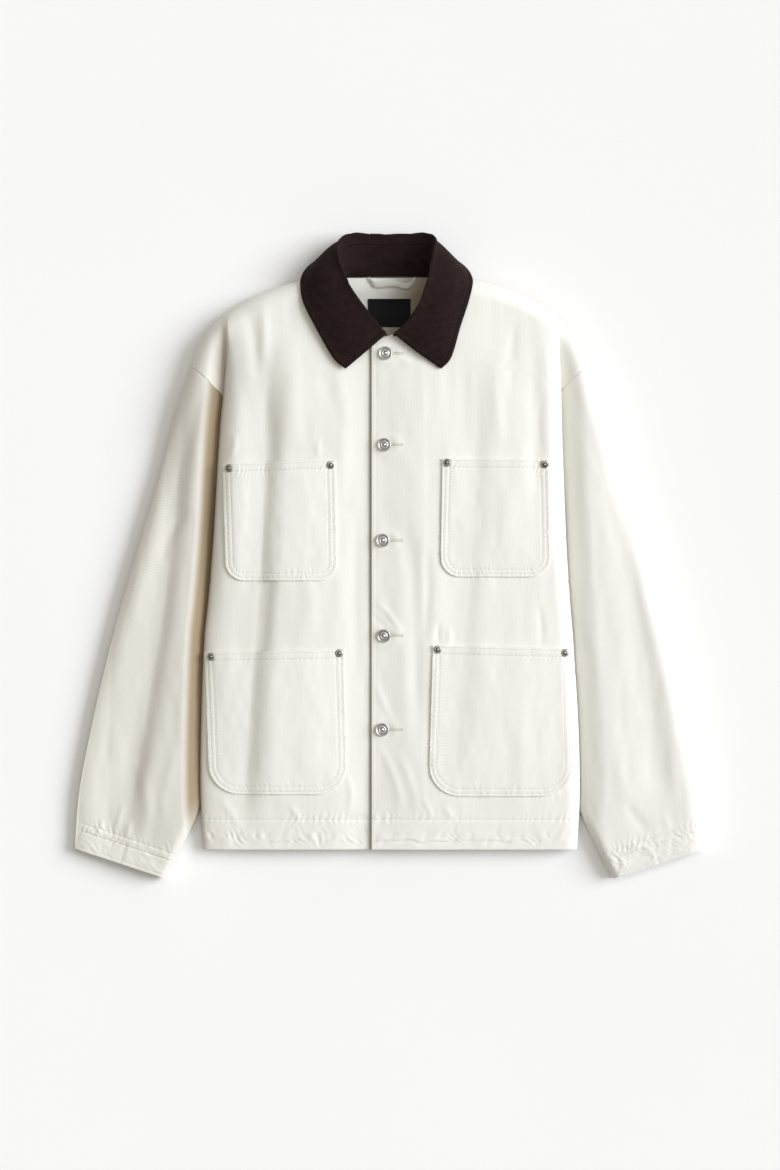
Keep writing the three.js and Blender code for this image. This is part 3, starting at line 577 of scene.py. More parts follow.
def corduroy_finish():
    finish = Finish("brown_corduroy", 0.9, sheen=0.05)
    finish.set("Sheen Tint", (0.5, 0.3, 0.25, 1))
    finish.set("Specular IOR Level", 0.2)
    place = finish.place("object")
    sockets = {"Vector": place, "Scale": (30, 1000 / WALE * math.pi / 10, 30)}
    level = finish.node("ShaderNodeMapping", sockets=sockets)
    settings = {"wave_type": "BANDS", "bands_direction": "Y", "wave_profile": "SIN"}
    wale_sockets = {"Vector": level, "Scale": 1.0, "Distortion": 0.5, "Detail": 1.0, "Detail Scale": 0.4}
    wale = finish.node("ShaderNodeTexWave", settings, wale_sockets)
    pile = finish.noise(finish.stretched(place, (1500, 1100, 1100)), 2)
    nap = finish.noise(finish.stretched(place, (110, 140, 90)), 4)
    # Painted shade in the wale channels, mixed with the nap's random mottling.
    light = wale * 0.16 + pile * 0.5 + nap * 0.85 - 0.38
    finish.set("Base Color", finish.blend(light, (0.0028, 0.0012, 0.0013), (0.034, 0.015, 0.013)))
    finish.bump(wale * 0.7 + pile * 0.5, 0.7, 0.0005)
    return finish.material


corduroy = corduroy_finish()

# %% [markdown]
# The thread is the cloth's own cream, a little darker so that the rows read. The metal is silver
# with darkened hollows, and the label is a bare black satin weave.

# %% Thread, metal and label
def thread_finish(name, colour):
    finish = Finish(name, 0.6)
    place = finish.place("object")
    fleck = finish.noise(finish.stretched(place, (900, 900, 900)), 2)
    darker = tuple(0.82 * c for c in colour)
    finish.set("Base Color", finish.blend(fleck, darker, colour))
    finish.bump(fleck, 0.3, 0.0001)
    return finish.material


def metal_finish(name, bright, dark):
    finish = Finish(name, 0.34, metallic=0.9)
    place = finish.place("object")
    wear = finish.noise(finish.stretched(place, (420, 420, 420)), 4)
    fine = finish.noise(finish.stretched(place, (2600, 2600, 2600)), 2)
    hollow = finish.node("ShaderNodeAttribute", {"attribute_name": "hollow"}, output=2)
    face = finish.blend(wear, tuple(0.8 * c for c in bright), bright)
    finish.set("Base Color", finish.blend(hollow, face, dark))
    finish.set("Roughness", wear * 0.25 + 0.26)
    finish.bump(fine, 0.25, 0.0001)
    return finish.material


def label_finish():
    finish = Finish("black_label", 0.7)
    finish.set("Specular IOR Level", 0.2)
    place = finish.place("uv")
    weft = finish.bands(finish.stretched(place, (1, 420, 1), math.radians(90)), 0.1)
    speck = finish.noise(finish.stretched(place, (1300, 1300, 1)), 2)
    finish.set("Base Color", finish.blend(speck, (0.004, 0.004, 0.0055), (0.011, 0.011, 0.014)))
    finish.bump(weft + speck * 0.5, 0.3, 0.0001)
    return finish.material


cream_thread = thread_finish("cream_thread", (0.78, 0.74, 0.63))
brown_thread = thread_finish("brown_thread", (0.035, 0.02, 0.018))
silver = metal_finish("silver_metal", (0.72, 0.71, 0.7), (0.16, 0.15, 0.145))
steel = metal_finish("aged_steel", (0.5, 0.485, 0.465), (0.04, 0.036, 0.032))
black_label = label_finish()
print("finishes", [material.name for material in bpy.data.materials])


# %% [markdown]
# The sleeve is a tube that lies flat. Each ring has an upper half, from the outer rim over the top
# to the inner fold, and a lower half on the floor. Near the shoulder the rings turn to meet the
# armhole seam. The cuff's own distance, measured square to its end, places the sewing.

# %% Sleeve surface
ARMHOLE_LENGTH = 215.0


def sleeve_plan(length, share):
    straight = mix(outer_route.at(length), inner_route.at(length), share[..., None])
    seam = armhole_route.at(1 - share)
    chord = mix(outer_route.at(0.0), inner_route.at(0.0), share[..., None])
    follow = np.maximum(1 - length / 0.3, 0) ** 3
    return straight + (seam - chord) * follow[..., None]


def sleeve_point(side, length, share, upper):
    length, share = np.broadcast_arrays(np.asarray(length, float), np.asarray(share, float))
    place = sleeve_plan(length, share)
    x, y = place[..., 0], place[..., 1]
    level = sleeve_level(side * x, y)
    half = (level - GROUND) / 2
    rim = nearest_on(rim_line, x, y)[0]
    inner = mix((1 - share) * ARMHOLE_LENGTH, nearest_on(inner_line, x, y)[0], ease(0, 0.035, length))
    fold = quarter(inner, np.maximum(half, 3))
    middle = mix(rim_height(y), GROUND + half, quarter(rim, RIM_RADIUS))
    top = mix(middle, level, fold * quarter(rim, RIM_RADIUS))
    low = mix(middle, GROUND, fold * quarter(rim, HEEL_RADIUS))
    return np.stack([side * x, y, top if upper else low], -1)


cuff_ends = np.array([(380.3, -353.3), (271, -389)], float)
cuff_run = (cuff_ends[1] - cuff_ends[0]) / np.linalg.norm(cuff_ends[1] - cuff_ends[0])
cuff_up = np.array([cuff_run[1], -cuff_run[0]])
CUFF_ROWS = (31.0, 22.5)
CUFF_SEAM, CUFF_WIDTH = 58.0, 118.0


def cuff_place(x, y):
    """How far up from the cuff's end a place is, and how far along it from the outer side."""
    away_x, away_y = np.abs(x) - cuff_ends[0, 0], y - cuff_ends[0, 1]
    up = away_x * cuff_up[0] + away_y * cuff_up[1]
    return np.abs(up), away_x * cuff_run[0] + away_y * cuff_run[1]


def sleeve_relief(side, x, y):
    """Fine height over the sleeve: cuff band, puckers, seams and long soft creases."""
    up, along = cuff_place(x, y)
    seed = 20 if side < 0 else 40
    relief = 0.55 * drift(x, y, 24, 85, seed) + 0.25 * drift(x, y, 9, 26, seed + 1)
    relief = relief * ease(8, 30, up)
    relief += 0.5 * ease(33, 30, up) * ease(0, 3, up)
    for k, row in enumerate(CUFF_ROWS):
        relief += groove(up - row, 0.7, 1.1)
        relief += puckers(along, up - row, 6.8, 0.55, 0.5 - k, 5, 9, seed + 3 + k)
    for k, (middle, pitch, lean) in enumerate(((26, 5.6, 0.9), (15, 7.4, -1.1), (7, 9.0, 1.2))):
        relief += 0.45 * puckers(along, up - middle, pitch, 0.6, lean, 6, 6, seed + 7 + 3 * k)
    relief += 0.35 * drift(along + 0.4 * up, up, 7, 5, seed + 17) * ease(33, 28, up) * ease(1, 5, up)
    relief += groove(up - 3.2, 0.5, 1.0)
    relief += groove(along - CUFF_SEAM, 0.5, 1.4) * ease(40, 28, up)
    relief += 0.4 * bell(along - CUFF_SEAM - 4, 4) * ease(40, 28, up)
    for path, height, width in sleeve_creases[side]:
        relief += crease(x, y, path, height, width)
    return relief


sleeve_creases = {
    -1: [
        ([(-222, 190), (-232, 120), (-240, 40)], 1.6, 9),
        ([(-262, 120), (-286, 20), (-312, -90)], 1.0, 12),
        ([(-330, -150), (-346, -230), (-352, -300)], -1.0, 12),
        ([(-300, -250), (-292, -300), (-300, -345)], 1.4, 8),
        ([(-258, -230), (-272, -290), (-280, -330)], 1.0, 7),
        ([(-240, 60), (-262, 30), (-276, -10)], -1.2, 7),
        ([(-345, -318), (-350, -332), (-352, -340)], 1.0, 3),
        ([(-322, -300), (-328, -322), (-330, -334)], 0.9, 3),
        ([(-312, -320), (-316, -333), (-316, -342)], 0.9, 3),
    ],
    1: [
        ([(256, 170), (266, 110), (280, 40)], 0.5, 12),
        ([(230, 60), (246, -30), (268, -120)], -0.9, 16),
        ([(262, -190), (276, -260), (292, -318)], 1.0, 12),
        ([(300, -200), (312, -260), (318, -310)], -0.8, 15),
        ([(288, -296), (298, -318), (312, -332)], -1.4, 7),
        ([(236, 120), (250, 100), (262, 70)], 0.5, 7),
        ([(330, -312), (336, -326), (334, -336)], 0.5, 4),
        ([(286, -352), (300, -350), (316, -354)], 0.9, 3),
        ([(322, -350), (340, -344), (352, -347)], 0.8, 3),
        ([(290, -368), (306, -362), (318, -364)], -0.8, 2.6),
        ([(276, -360), (281, -368), (284, -378)], 0.9, 3),
    ],
}


def sleeve_grid(side):
    lengths = np.concatenate([np.linspace(0, 0.9, 122), np.linspace(0.9, 1, 46)[1:]])[:, None]
    over, under = crowded(84, 0.55, 0.45), crowded(34, 0.55, 0.45)[::-1][1:]
    upper = sleeve_point(side, lengths, over[None, :], True)
    lower = sleeve_point(side, lengths, under[None, :], False)
    relief = sleeve_relief(side, upper[..., 0], upper[..., 1])
    rim = nearest_on(rim_line, np.abs(upper[..., 0]), upper[..., 1])[0]
    fade = ease(0, 10, rim) * ease(1, 0.93, over)[None, :] * ease(0, 0.02, lengths)
    ring = np.concatenate([upper, lower], axis=1)
    lift = np.zeros(ring.shape[:2])
    lift[:, : len(over)] = relief * fade
    if side < 0:
        ring, lift = ring[:, ::-1], lift[:, ::-1]
    return ring + surface_normals(ring) * lift[..., None]


# %% [markdown]
# The painted shade attribute is written on the finished mesh, vertex by vertex, from a function of place.

# %% Painted shade attribute
def write_attribute(piece, name, values):
    layer = piece.data.attributes.new(name, "FLOAT", "POINT")
    layer.data.foreach_set("value", np.asarray(values, np.float32))


def vertex_places(piece):
    co = np.zeros(len(piece.data.vertices) * 3)
    piece.data.vertices.foreach_get("co", co)
    return co.reshape(-1, 3) / MM


def sleeve_painted_shade(piece, side):
    x, y = vertex_places(piece)[:, :2].T
    beyond = np.abs(x) - edge_at(x, y)
    # Painted shade: dark in the crevice beside the body on the left sleeve and faint on the right, with a
    # light shade over the whole left sleeve.
    crevice_shade = ease(27, 12, beyond) if side < 0 else 0.12 * ease(20, 2, beyond)
    sleeve_shade = 0.17 if side < 0 else 0.03
    write_attribute(piece, "painted_shade", np.maximum(crevice_shade * ease(-370, -290, y), sleeve_shade))


SIDES = ((-1, "left"), (1, "right"))
for side, label in SIDES:
    points = sleeve_grid(side)
    uv = np.stack(cloth_lengths(points), -1)
    sleeve = panel(f"sleeve_{label}_cloth", points, uv, COTTON, closed=True)
    sleeve_painted_shade(sleeve, side)
    lay(sleeve, points, [f"sleeve_{label}"], cotton)

# %% [markdown]
# A pocket is a patch with round lower corners. Its outline is worked out once, so that the same
# line gives its edge, its rows of stitches and its puckers.

# %% Pocket outlines
pocket_sizes = {
    "pocket_chest_left": (-200, -196.6, -66, -63.5, 111.3, 115.6, -29.6, 22),
    "pocket_chest_right": (63.5, 61, 190.6, 193, 116.8, 116, -25, 24),
    "pocket_lower_left": (-221.5, -217, -55.7, -52, -116.2, -113, -286.8, 36),
    "pocket_lower_right": (52, 47, 217, 221, -107.5, -111.3, -289, 38),
}
TOP_HEM, TOP_ROW = 9.7, 2.2
POCKET_ROWS = (3.4, 8.8)
POCKET_LIFT = COTTON + SEAM_GAP + 0.35


def pocket_outline(name):
    """The sewn edge from the top left corner, down, round and up again, and the open top edge."""
    left, left_low, right, right_low, top_left, top_right, low, corner = pocket_sizes[name]
    turn = np.linspace(0, math.pi / 2, 14)
    first = np.column_stack([left_low + corner * (1 - np.cos(turn)), low + corner * (1 - np.sin(turn))])
    second = np.column_stack([right_low - corner * (1 - np.sin(turn)), low + corner * (1 - np.cos(turn))])
    top = np.array([(left, top_left), (right, top_right)], float)
    return np.vstack([top[:1], first, second, top[1:]]), top


def pocket_relief(name, x, y, seed):
    """Fine height over a pocket: puckers along its sewn edge and its top hem."""
    sewn, top = pocket_outline(name)
    off, along = nearest_on(sewn, x, y)
    below, across = nearest_on(top, x, y)
    relief = 0.4 * drift(x, y, 20, 60, seed) + 0.2 * drift(x, y, 8, 18, seed + 1)
    side_share = ease(60, 150, along) * ease(top[1, 0] - top[0, 0] + 330, 300, along)
    strength = mix(0.4, 1.0, side_share)
    for k, row in enumerate(POCKET_ROWS):
        relief += groove(off - row, 0.5, 1.0)
        relief += strength * puckers(along, off - row, 5.6, 0.38, 0.15, 3.5, 7, seed + 2 + k)
    relief += 0.35 * ease(TOP_HEM + 1, TOP_HEM - 1, below)
    relief += groove(below - TOP_HEM, 0.5, 1.0)
    relief += puckers(across, below - TOP_HEM, 5.4, 0.42, 0.35, 7, 8, seed + 5)
    return relief


# %% [markdown]
# The creases of the fronts are placed from the photo, each a soft ridge or trough with its
# own length, depth and width: soft bands from the shoulders, a wrinkle at the fourth button, drawn
# lines above the hem, and pulls at the pockets' corners.

# %% Creases of the fronts
button_places = {
    "button_1": (-5, 243.5), "button_2": (-6.3, 133.6), "button_3": (-8.3, 18.6),
    "button_4": (-7, -96), "button_5": (-9.1, -209.1),
}
front_creases = [
    ([(-139, 225), (-142, 20), (-164, -260)], -1.6, 9),
    ([(-170, 300), (-164, 262), (-160, 215)], -1.5, 8),
    ([(-152, 300), (-150, 270), (-152, 235)], 1.0, 6),
    ([(-188, 250), (-187, 150), (-190, 60)], 0.6, 8),
    ([(-120, 270), (-116, 200), (-118, 130)], 1.3, 11),
    ([(-60, 210), (-54, 150), (-60, 60)], 1.1, 10),
    ([(-100, -10), (-96, -60), (-104, -108)], 1.2, 10),
    ([(-40, 60), (-42, -40), (-40, -160)], -0.9, 7),
    ([(-16, -58), (-4, -66), (8, -82), (16, -92)], 1.1, 2.6),
    ([(-20, -74), (-10, -82), (-2, -86)], -0.7, 2.4),
    ([(-18, -150), (-8, -176), (4, -200)], 0.7, 4),
    ([(-14, -226), (4, -262), (16, -304)], 0.8, 4.5),
    ([(8, -236), (26, -272), (34, -310)], 0.7, 5),
    ([(38, -290), (46, -302), (50, -318)], 0.7, 3.5),
    ([(64, -300), (72, -310), (78, -320)], 0.6, 3.5),
    ([(44, 10), (46, -50), (42, -106)], -1.1, 6),
    ([(60, -80), (58, -96), (60, -112)], -1.2, 3.5),
    ([(70, -84), (72, -98), (68, -112)], 0.8, 3.5),
    ([(130, 250), (128, 190), (134, 130)], 1.2, 10),
    ([(150, 280), (146, 240), (148, 200)], -0.9, 6),
    ([(182, 200), (180, 150), (184, 120)], -0.8, 5),
    ([(146, 100), (142, 40), (146, -20)], 0.9, 11),
    ([(180, -60), (183, -90), (182, -112)], -0.8, 4),
    ([(160, -150), (156, -200), (160, -250)], 0.7, 12),
    ([(-190, 120), (-186, 132), (-186, 146)], 0.8, 4),
    ([(-84, 118), (-86, 128), (-84, 140)], 0.8, 3.5),
    ([(-205, -290), (-190, -312), (-180, -330)], 0.7, 5),
    ([(-120, -300), (-112, -312), (-108, -322)], 0.8, 3.5),
    ([(-52, -262), (-46, -288), (-50, -312)], 0.9, 4),
    ([(-84, 224), (-70, 190), (-58, 150)], -0.7, 9),
    ([(12, 246), (26, 240), (40, 238)], -0.7, 3),
    ([(10, 238), (24, 232), (38, 233)], 0.6, 3),
]
print(len(front_creases), "creases on the fronts")


def front_relief(side, x, y):
    """Fine height over a front, where it can be seen from above."""
    seed = 60 if side < 0 else 80
    from_hem = y - HEM_Y
    relief = 0.5 * drift(x, y, 26, 95, seed) + 0.22 * drift(x, y, 10, 30, seed + 1)
    relief = relief * mix(0.35, 1, ease(20, 60, from_hem))
    relief += 0.45 * ease(HEM_DEPTH + 1.5, HEM_DEPTH - 1, from_hem)
    relief += groove(from_hem - HEM_DEPTH, 0.7, 1.2)
    lively = 0.75 + 0.35 * waver(x, 60, seed + 2)
    relief += lively * puckers(x, from_hem - HEM_DEPTH, 7.5, 0.5, -0.2, 5, 9, seed + 3)
    band = bell(from_hem - 14, 10)
    sway = 5 * np.sin(from_hem / 7 + 3 * waver(x, 34, seed + 8)) + 9 * drift(x, from_hem, 22, 16, seed + 4)
    ridge = np.cos(2 * math.pi * (x + 0.9 * from_hem + sway) / 9.0)
    relief += 0.6 * np.clip(0.1 + 1.3 * drift(x, from_hem, 12, 9, seed + 5), 0, 1.1) * ridge * band
    relief += 0.6 * drift(x - 0.5 * from_hem, from_hem, 6, 8, seed + 6) * band
    wrinkle = from_hem - 9 - 2.2 * waver(x, 13, seed + 11)
    strong = np.clip(0.3 + 0.9 * waver(x, 45, seed + 12), 0, 1)
    relief += strong * (groove(wrinkle, 0.8, 1.5) + 0.5 * bell(wrinkle - 3, 2))
    for name in pocket_sizes:
        if ("left" in name) != (side < 0):
            continue
        off, along = nearest_on(pocket_outline(name)[0], x, y)
        relief += puckers(along, off, 6.2, 0.3, 0.2, 5, 6, seed + 7)
    if side > 0:
        relief += groove(x - PLACKET_EDGE - 4.6, 0.3, 1.2)
        relief += 0.35 * ease(48, 39, x) * ease(230, 200, y)
        for bx, by in button_places.values():
            slit = ease(bx + 4, bx + 6, x) * ease(16, 14, x)
            relief += groove(y - by, 0.8, 0.6) * slit
            dimple = np.hypot(x - bx - 3, (y - by) * 1.3)
            relief += 0.9 * bell(dimple - 13, 6) - 0.8 * bell(dimple, 8)
    for path, height, width in front_creases:
        if (path[1][0] < PLACKET_EDGE) == (side < 0):
            relief += crease(x, y, path, height, width)
    return relief


# %% [markdown]
# A front runs from the button edge to the side fold, then turns under to the side seam. Above the
# underarm its rows fan out, so that one edge follows the neck and the other the armhole. The dropped
# shoulder goes past the body's side and over the top of the arm.

# %% Front surface
arm_steps = np.array([0, 0.02, 0.07, 0.16, 0.27, 0.39, 0.51, 0.63, 0.74, 0.83, 0.9, 0.95, 0.98, 0.994, 1])
placket_steps = np.array([28, 40, 62, 92, 125, 160, 195, 228, 258], float)
neck_steps = np.array([0, 0.3, 0.58, 0.8, 0.93, 0.985, 1])
middle_steps = np.array([28, 40, 62, 95, 130, 165, 198, 228, 258, 283, 303, 319, 329.5, 334.5, 336])
NECK_FROM = 8
HALVINGS, TAIL_REACH = 24, 9


def step_at(row, steps):
    return np.interp(row, np.arange(len(steps)), steps)


def armhole_edge(arm):
    run = armhole_route.tangent(arm)
    gap = mix(HIDDEN_GAP, SEAM_GAP, ease(0.72, 0.85, arm))
    return armhole_route.at(arm) + np.array([-run[1], run[0]]) * gap


def front_row_plan(side, row):
    arm = step_at(row, arm_steps)
    corner = np.array([-UNDERLAP_EDGE if side < 0 else PLACKET_EDGE, PLACKET_TOP])
    if row <= NECK_FROM:
        start = np.array([corner[0], step_at(row, placket_steps)])
        bulge = 0.2 * float(ease(NECK_FROM - 1, NECK_FROM, row))
    else:
        share = step_at(row - NECK_FROM, neck_steps)
        start = neck_route.at(share) + (corner - neck_route.at(0.0)) * max(1 - share / 0.3, 0)
        bulge = float(ease(-0.4, 1, share))
    end = armhole_edge(arm)

    def plan(u):
        u = np.asarray(u, float)
        chord = mix(neck_route.at(1.0), armhole_route.at(1.0), u[..., None])
        return mix(start, end, u[..., None]) + (shoulder_route.at(u) - chord) * bulge

    return plan, arm


inner_shares = crowded(148, 0.7, last=0.3)
tail_shares = np.linspace(0, 1, 15)[1:]


def front_tail(side, edge, y, fold_z, end_d, end_z, turn):
    reach = TAIL_REACH * float(ease(0, 8, abs(end_d)))
    one_z = fold_z - (fold_z - end_z) * 0.75
    two_d, two_z = end_d + reach * math.cos(turn), end_z + reach * math.sin(turn)
    t, k = tail_shares, 1 - tail_shares
    d = 3 * k * t * t * two_d + t**3 * end_d
    z = k**3 * fold_z + 3 * k * k * t * one_z + 3 * k * t * t * two_z + t**3 * end_z
    return np.stack([side * (edge + d), np.full_like(t, y), z], -1)


def lower_front_row(side, y):
    edge = float(edge_at(side, y))
    start = -UNDERLAP_EDGE if side < 0 else PLACKET_EDGE
    x = side * mix(start, edge, inner_shares)
    z = front_layer(side, x, np.full_like(x, y))
    row = np.stack([x, np.full_like(x, y), z], -1)
    end_d = -SIDE_SEAM_IN + SEAM_GAP / 2
    return np.vstack([row, front_tail(side, edge, y, z[-1], end_d, SIDE_SEAM_Z, 0.0)])


def upper_front_row(side, row):
    plan, arm = front_row_plan(side, row)
    start, end = plan(0.0), plan(1.0)
    edge = float(edge_at(side, end[1]))
    if end[0] < edge:
        across, y = mix(start[0], edge, inner_shares), mix(start[1], end[1], inner_shares)
        z = front_layer(side, side * across, y)
        seam_z = float(sleeve_point(side, 0.0, 1 - arm, True)[2])
        tail = front_tail(side, edge, end[1], z[-1], end[0] - edge, seam_z, math.pi + 0.3)
        return np.vstack([np.stack([side * across, y, z], -1), tail])
    low, high = 0.0, 1.0
    for _ in range(HALVINGS):
        middle = (low + high) / 2
        place = plan(middle)
        if place[0] < edge_at(side, place[1]):
            low = middle
        else:
            high = middle
    place = plan(inner_shares * low)
    z = front_layer(side, side * place[:, 0], place[:, 1])
    beyond = plan(mix(low, 1, tail_shares))
    level = rounded_top(sleeve_level(side * beyond[:, 0], beyond[:, 1]), beyond[:, 0], beyond[:, 1])
    if arm == 1:
        z, level = rim_height(place[:, 1]), rim_height(beyond[:, 1])
    inside = np.stack([side * place[:, 0], place[:, 1], z], -1)
    return np.vstack([inside, np.stack([side * beyond[:, 0], beyond[:, 1], level], -1)])


def front_grid(side):
    low_rows = np.concatenate([np.arange(HEM_Y, -300, 1.5), np.linspace(-300, 28, 112)])
    rows = [lower_front_row(side, y) for y in low_rows]
    first = upper_front_row(side, 1.0)
    rows += [mix(rows[-1], first, t) for t in (0.25, 0.5, 0.75)]
    high = np.concatenate([np.linspace(1, 8, 72), np.linspace(8, 14, 58)[1:]])
    rows += [upper_front_row(side, row) for row in high]
    points = np.array(rows)
    hidden = ease(1.0, 0.985, np.concatenate([inner_shares, 1 + tail_shares]))
    if side < 0:
        points, hidden = points[:, ::-1], hidden[::-1]
    relief = front_relief(side, points[..., 0], points[..., 1])
    near_rim = nearest_on(rim_line, np.abs(points[..., 0]), points[..., 1])[0]
    lift = relief * hidden[None, :] * ease(0, 12, near_rim)
    return points + surface_normals(points) * lift[..., None]


def hem_depths(y):
    """Share of the hem's doubled thickness: full in the turned hem, single above it."""
    return mix(1.0, COTTON / HEM_CLOTH, ease(HEM_Y + HEM_DEPTH, HEM_Y + HEM_DEPTH + 2, y))


for side, label in SIDES:
    points = front_grid(side)
    u = cloth_lengths(points)[0]
    skin = points + surface_normals(points) * (COTTON / 2)
    placket = -1 if side < 0 else 0
    grain = points[:, [placket], 0] + u - u[:, [placket]]
    uv = np.stack([grain, points[..., 1]], -1)
    deep = hem_depths(points[..., 1])
    front = panel(f"front_{label}_cloth", skin, uv, HEM_CLOTH, offset=-1.0, inner=deep)
    x, y = vertex_places(front)[:, :2].T
    # Painted shade: a dark line under the right front's button edge, the shoulder crevice beside the body,
    # and a faint shade over all of the left front.
    button_edge_shade = 0.8 * ease(-26, -22.5, x) * ease(266, 240, y) if side < 0 else 0.0
    beyond = np.abs(x) - edge_at(x, y)
    shoulder_crevice_shade = (0.5 if side < 0 else 0.12) * ease(-4, 2, beyond) * ease(26, 6, beyond) * ease(296, 240, y)
    write_attribute(front, "painted_shade", np.maximum(np.maximum(button_edge_shade, shoulder_crevice_shade), 0.05 if side < 0 else 0.0))
    lay(front, points, [f"front_{label}"], cotton)

# %% [markdown]
# The back lies on the floor. It rises only over the sleeves' inner folds, at the side seams, at the
# shoulders, where it meets the fronts, and at the neck, where the collar lies under it.

# %% Back
def back_height(across, y):
    strip = read(columns("y x", [(b, a) for a, b in inner_rows]), "y", "x", np.clip(y, -300, 5))
    over_sleeve = ease(strip - 22, strip - 8, across) * ease(-345, -300, y)
    over_sleeve = OVER_SLEEVE * over_sleeve * ease(UNDERARM_Y + 16, UNDERARM_Y, y)
    over_leaf = OVER_LEAF * ease(300, 326, y) * ease(96, 60, across)
    rim = quarter(nearest_on(rim_line, across, y)[0], HEEL_RADIUS)
    return mix(rim_height(y), GROUND + np.maximum(over_sleeve, over_leaf), rim)


BACK_NECK_SHARE = 0.28
half_shares = crowded(70, 0.6, last=0.4)


def lower_back_row(y):
    edge = float(edge_at(1, y))
    across = (edge - SIDE_SEAM_IN - SEAM_GAP / 2) * half_shares
    rows = np.full_like(across, y)
    z = mix(back_height(across, rows), SIDE_SEAM_Z, ease(0.86, 1, half_shares))
    return np.stack([across, rows, z], -1)


def upper_back_row(row):
    arm, middle = step_at(row, arm_steps), step_at(row, middle_steps)
    end, neck_end = armhole_edge(arm), neck_route.at(1.0)
    u = np.maximum(half_shares - BACK_NECK_SHARE, 0) / (1 - BACK_NECK_SHARE)
    chord = mix(neck_end, armhole_route.at(1.0), u[:, None])
    swell = (shoulder_route.at(u) - chord) * float(ease(150, BACK_NECK_Y, middle))
    across_neck = np.minimum(half_shares / BACK_NECK_SHARE, 1)[:, None]
    from_neck = mix(np.array([neck_end[0], middle]), end, u[:, None])
    place = from_neck + swell - (1 - across_neck) * np.array([neck_end[0], 0])
    z = back_height(place[:, 0], place[:, 1])
    seam_z = float(sleeve_point(1, 0.0, 1 - arm, False)[2])
    z = mix(z, seam_z, ease(0.95, 1, half_shares)) if arm < 1 else z
    if arm == 1:
        z = np.where(half_shares >= BACK_NECK_SHARE, rim_height(place[:, 1]) - 0.2, z)
    return np.stack([place[:, 0], place[:, 1], z - 0.8 * float(ease(0.2, 0, arm)) * half_shares], -1)


def back_grid():
    low_rows = np.concatenate([np.arange(HEM_Y, -310, 4), np.linspace(-310, 28, 64)])
    rows = [lower_back_row(y) for y in low_rows]
    rows += [upper_back_row(row) for row in np.linspace(1, 14, 70)]
    half = np.array(rows)
    mirrored = half[:, :0:-1] * np.array([-1, 1, 1])
    points = np.concatenate([mirrored, half], axis=1)
    left_edge = edge_at(-1, points[..., 1]) / edge_at(1, points[..., 1])
    points[..., 0] *= np.where((points[..., 0] < 0) & (points[..., 1] < UNDERARM_Y), left_edge, 1)
    return points


points = back_grid()
back = panel("back_cloth", points, points[..., :2], COTTON)
x, y = vertex_places(back)[:, :2].T
# Painted shade inside the neck on the back, growing towards the right, where the collar shades it.
write_attribute(back, "painted_shade", ease(60, 150, y) * mix(0.0, 0.9, ease(-8, 34, x + (316 - y) * 0.4)))
lay(back, points, ["back"], cotton)

# %% [markdown]
# The pockets lie on the fronts: each point of a pocket is a point of the front below, moved out
# along the front's normal by a thickness of cloth. Columns crowd at the round corners.

# %% Pockets
def pocket_grid(name):
    left, left_low, right, right_low, top_left, top_right, low, corner = pocket_sizes[name]
    side = -1 if left < 0 else 1
    s, up = crowded(96, 0.62, 0.38), crowded(92, 0.8, 0.2)[:, None]
    top = mix(top_left, top_right, s)[None, :]
    from_side = np.minimum(s * (right_low - left_low), (1 - s) * (right_low - left_low))
    bottom = low + corner * (1 - quarter(from_side, corner))[None, :]
    y = mix(bottom, top, up)
    down = (top - y) / (top - low)
    x = mix(mix(left, left_low, down), mix(right, right_low, down), s[None, :])
    base = np.stack([x, y, front_layer(side, x, y)], -1)
    relief = pocket_relief(name, x, y, 100 + 10 * list(pocket_sizes).index(name))
    sag = 0.8 * ease(8, 40, nearest_on(pocket_outline(name)[0], x, y)[0])
    under = 0.6 * np.clip(front_relief(side, x, y), -0.6, 1.6)
    lift = POCKET_LIFT + relief * 0.9 + sag + under
    return base + surface_normals(base) * lift[..., None]


for name in pocket_sizes:
    points = pocket_grid(name)
    pocket = panel(f"{name}_cloth", points, np.stack(cloth_lengths(points), -1), COTTON)
    write_attribute(pocket, "painted_shade", np.zeros(len(pocket.data.vertices)))
    label = "left" if "left" in name else "right"
    lay(pocket, points, [name], cotton)

# %% [markdown]
# The collar is one bent strip. At each station round the neck its section climbs from the neck seam
# to the roll and comes down to the outer edge. The stand and the leaf share that section.

# %% Collar surface
collar_roll = columns("s left right y z", [
    (0, 4, 6, 267, 52.5), (0.14, 16, 20, 281, 56), (0.3, 31, 34, 300, 57.5), (0.45, 46, 43, 322, 57),
    (0.58, 55, 48, 341, 54), (0.65, 60, 51, 356, 49), (0.72, 63, 54, 371, 41), (0.79, 58, 55, 383.5, 31),
    (0.86, 44, 44, 389, 24), (0.93, 23, 23, 388.5, 20), (1, 0, 0, 387.5, 19),
])
collar_leaf = columns("s left right y z", [
    (0, 28, 32, 246, 52), (0.14, 42, 47, 258, 55), (0.3, 59, 63, 283, 55), (0.45, 75, 73, 309, 53),
    (0.58, 84, 78, 332, 48), (0.65, 86, 79, 347, 42), (0.72, 81, 73, 362, 32), (0.79, 67, 62, 375, 20),
    (0.86, 52, 52, 377, 11), (0.93, 26, 26, 372, 7), (1, 0, 0, 370, 5.5),
])
collar_edge = columns("s left right y z", [
    (0, 53, 62, 225, 50), (0.14, 68, 74, 239, 50), (0.3, 89, 85, 276, 48), (0.45, 104, 95, 307, 43),
    (0.58, 107, 100, 330, 31), (0.65, 103, 96, 343, 21), (0.72, 92, 85, 353, 11), (0.79, 76, 72, 354, 5.5),
    (0.86, 55, 54, 348, 3), (0.93, 28, 28, 342, 2), (1, 0, 0, 340, 1.6),
])
NECK_HALF = 68.0
SHOULDER_STATION = 0.55
CURVE_STEPS, ROLL_KNOT = 20, 3
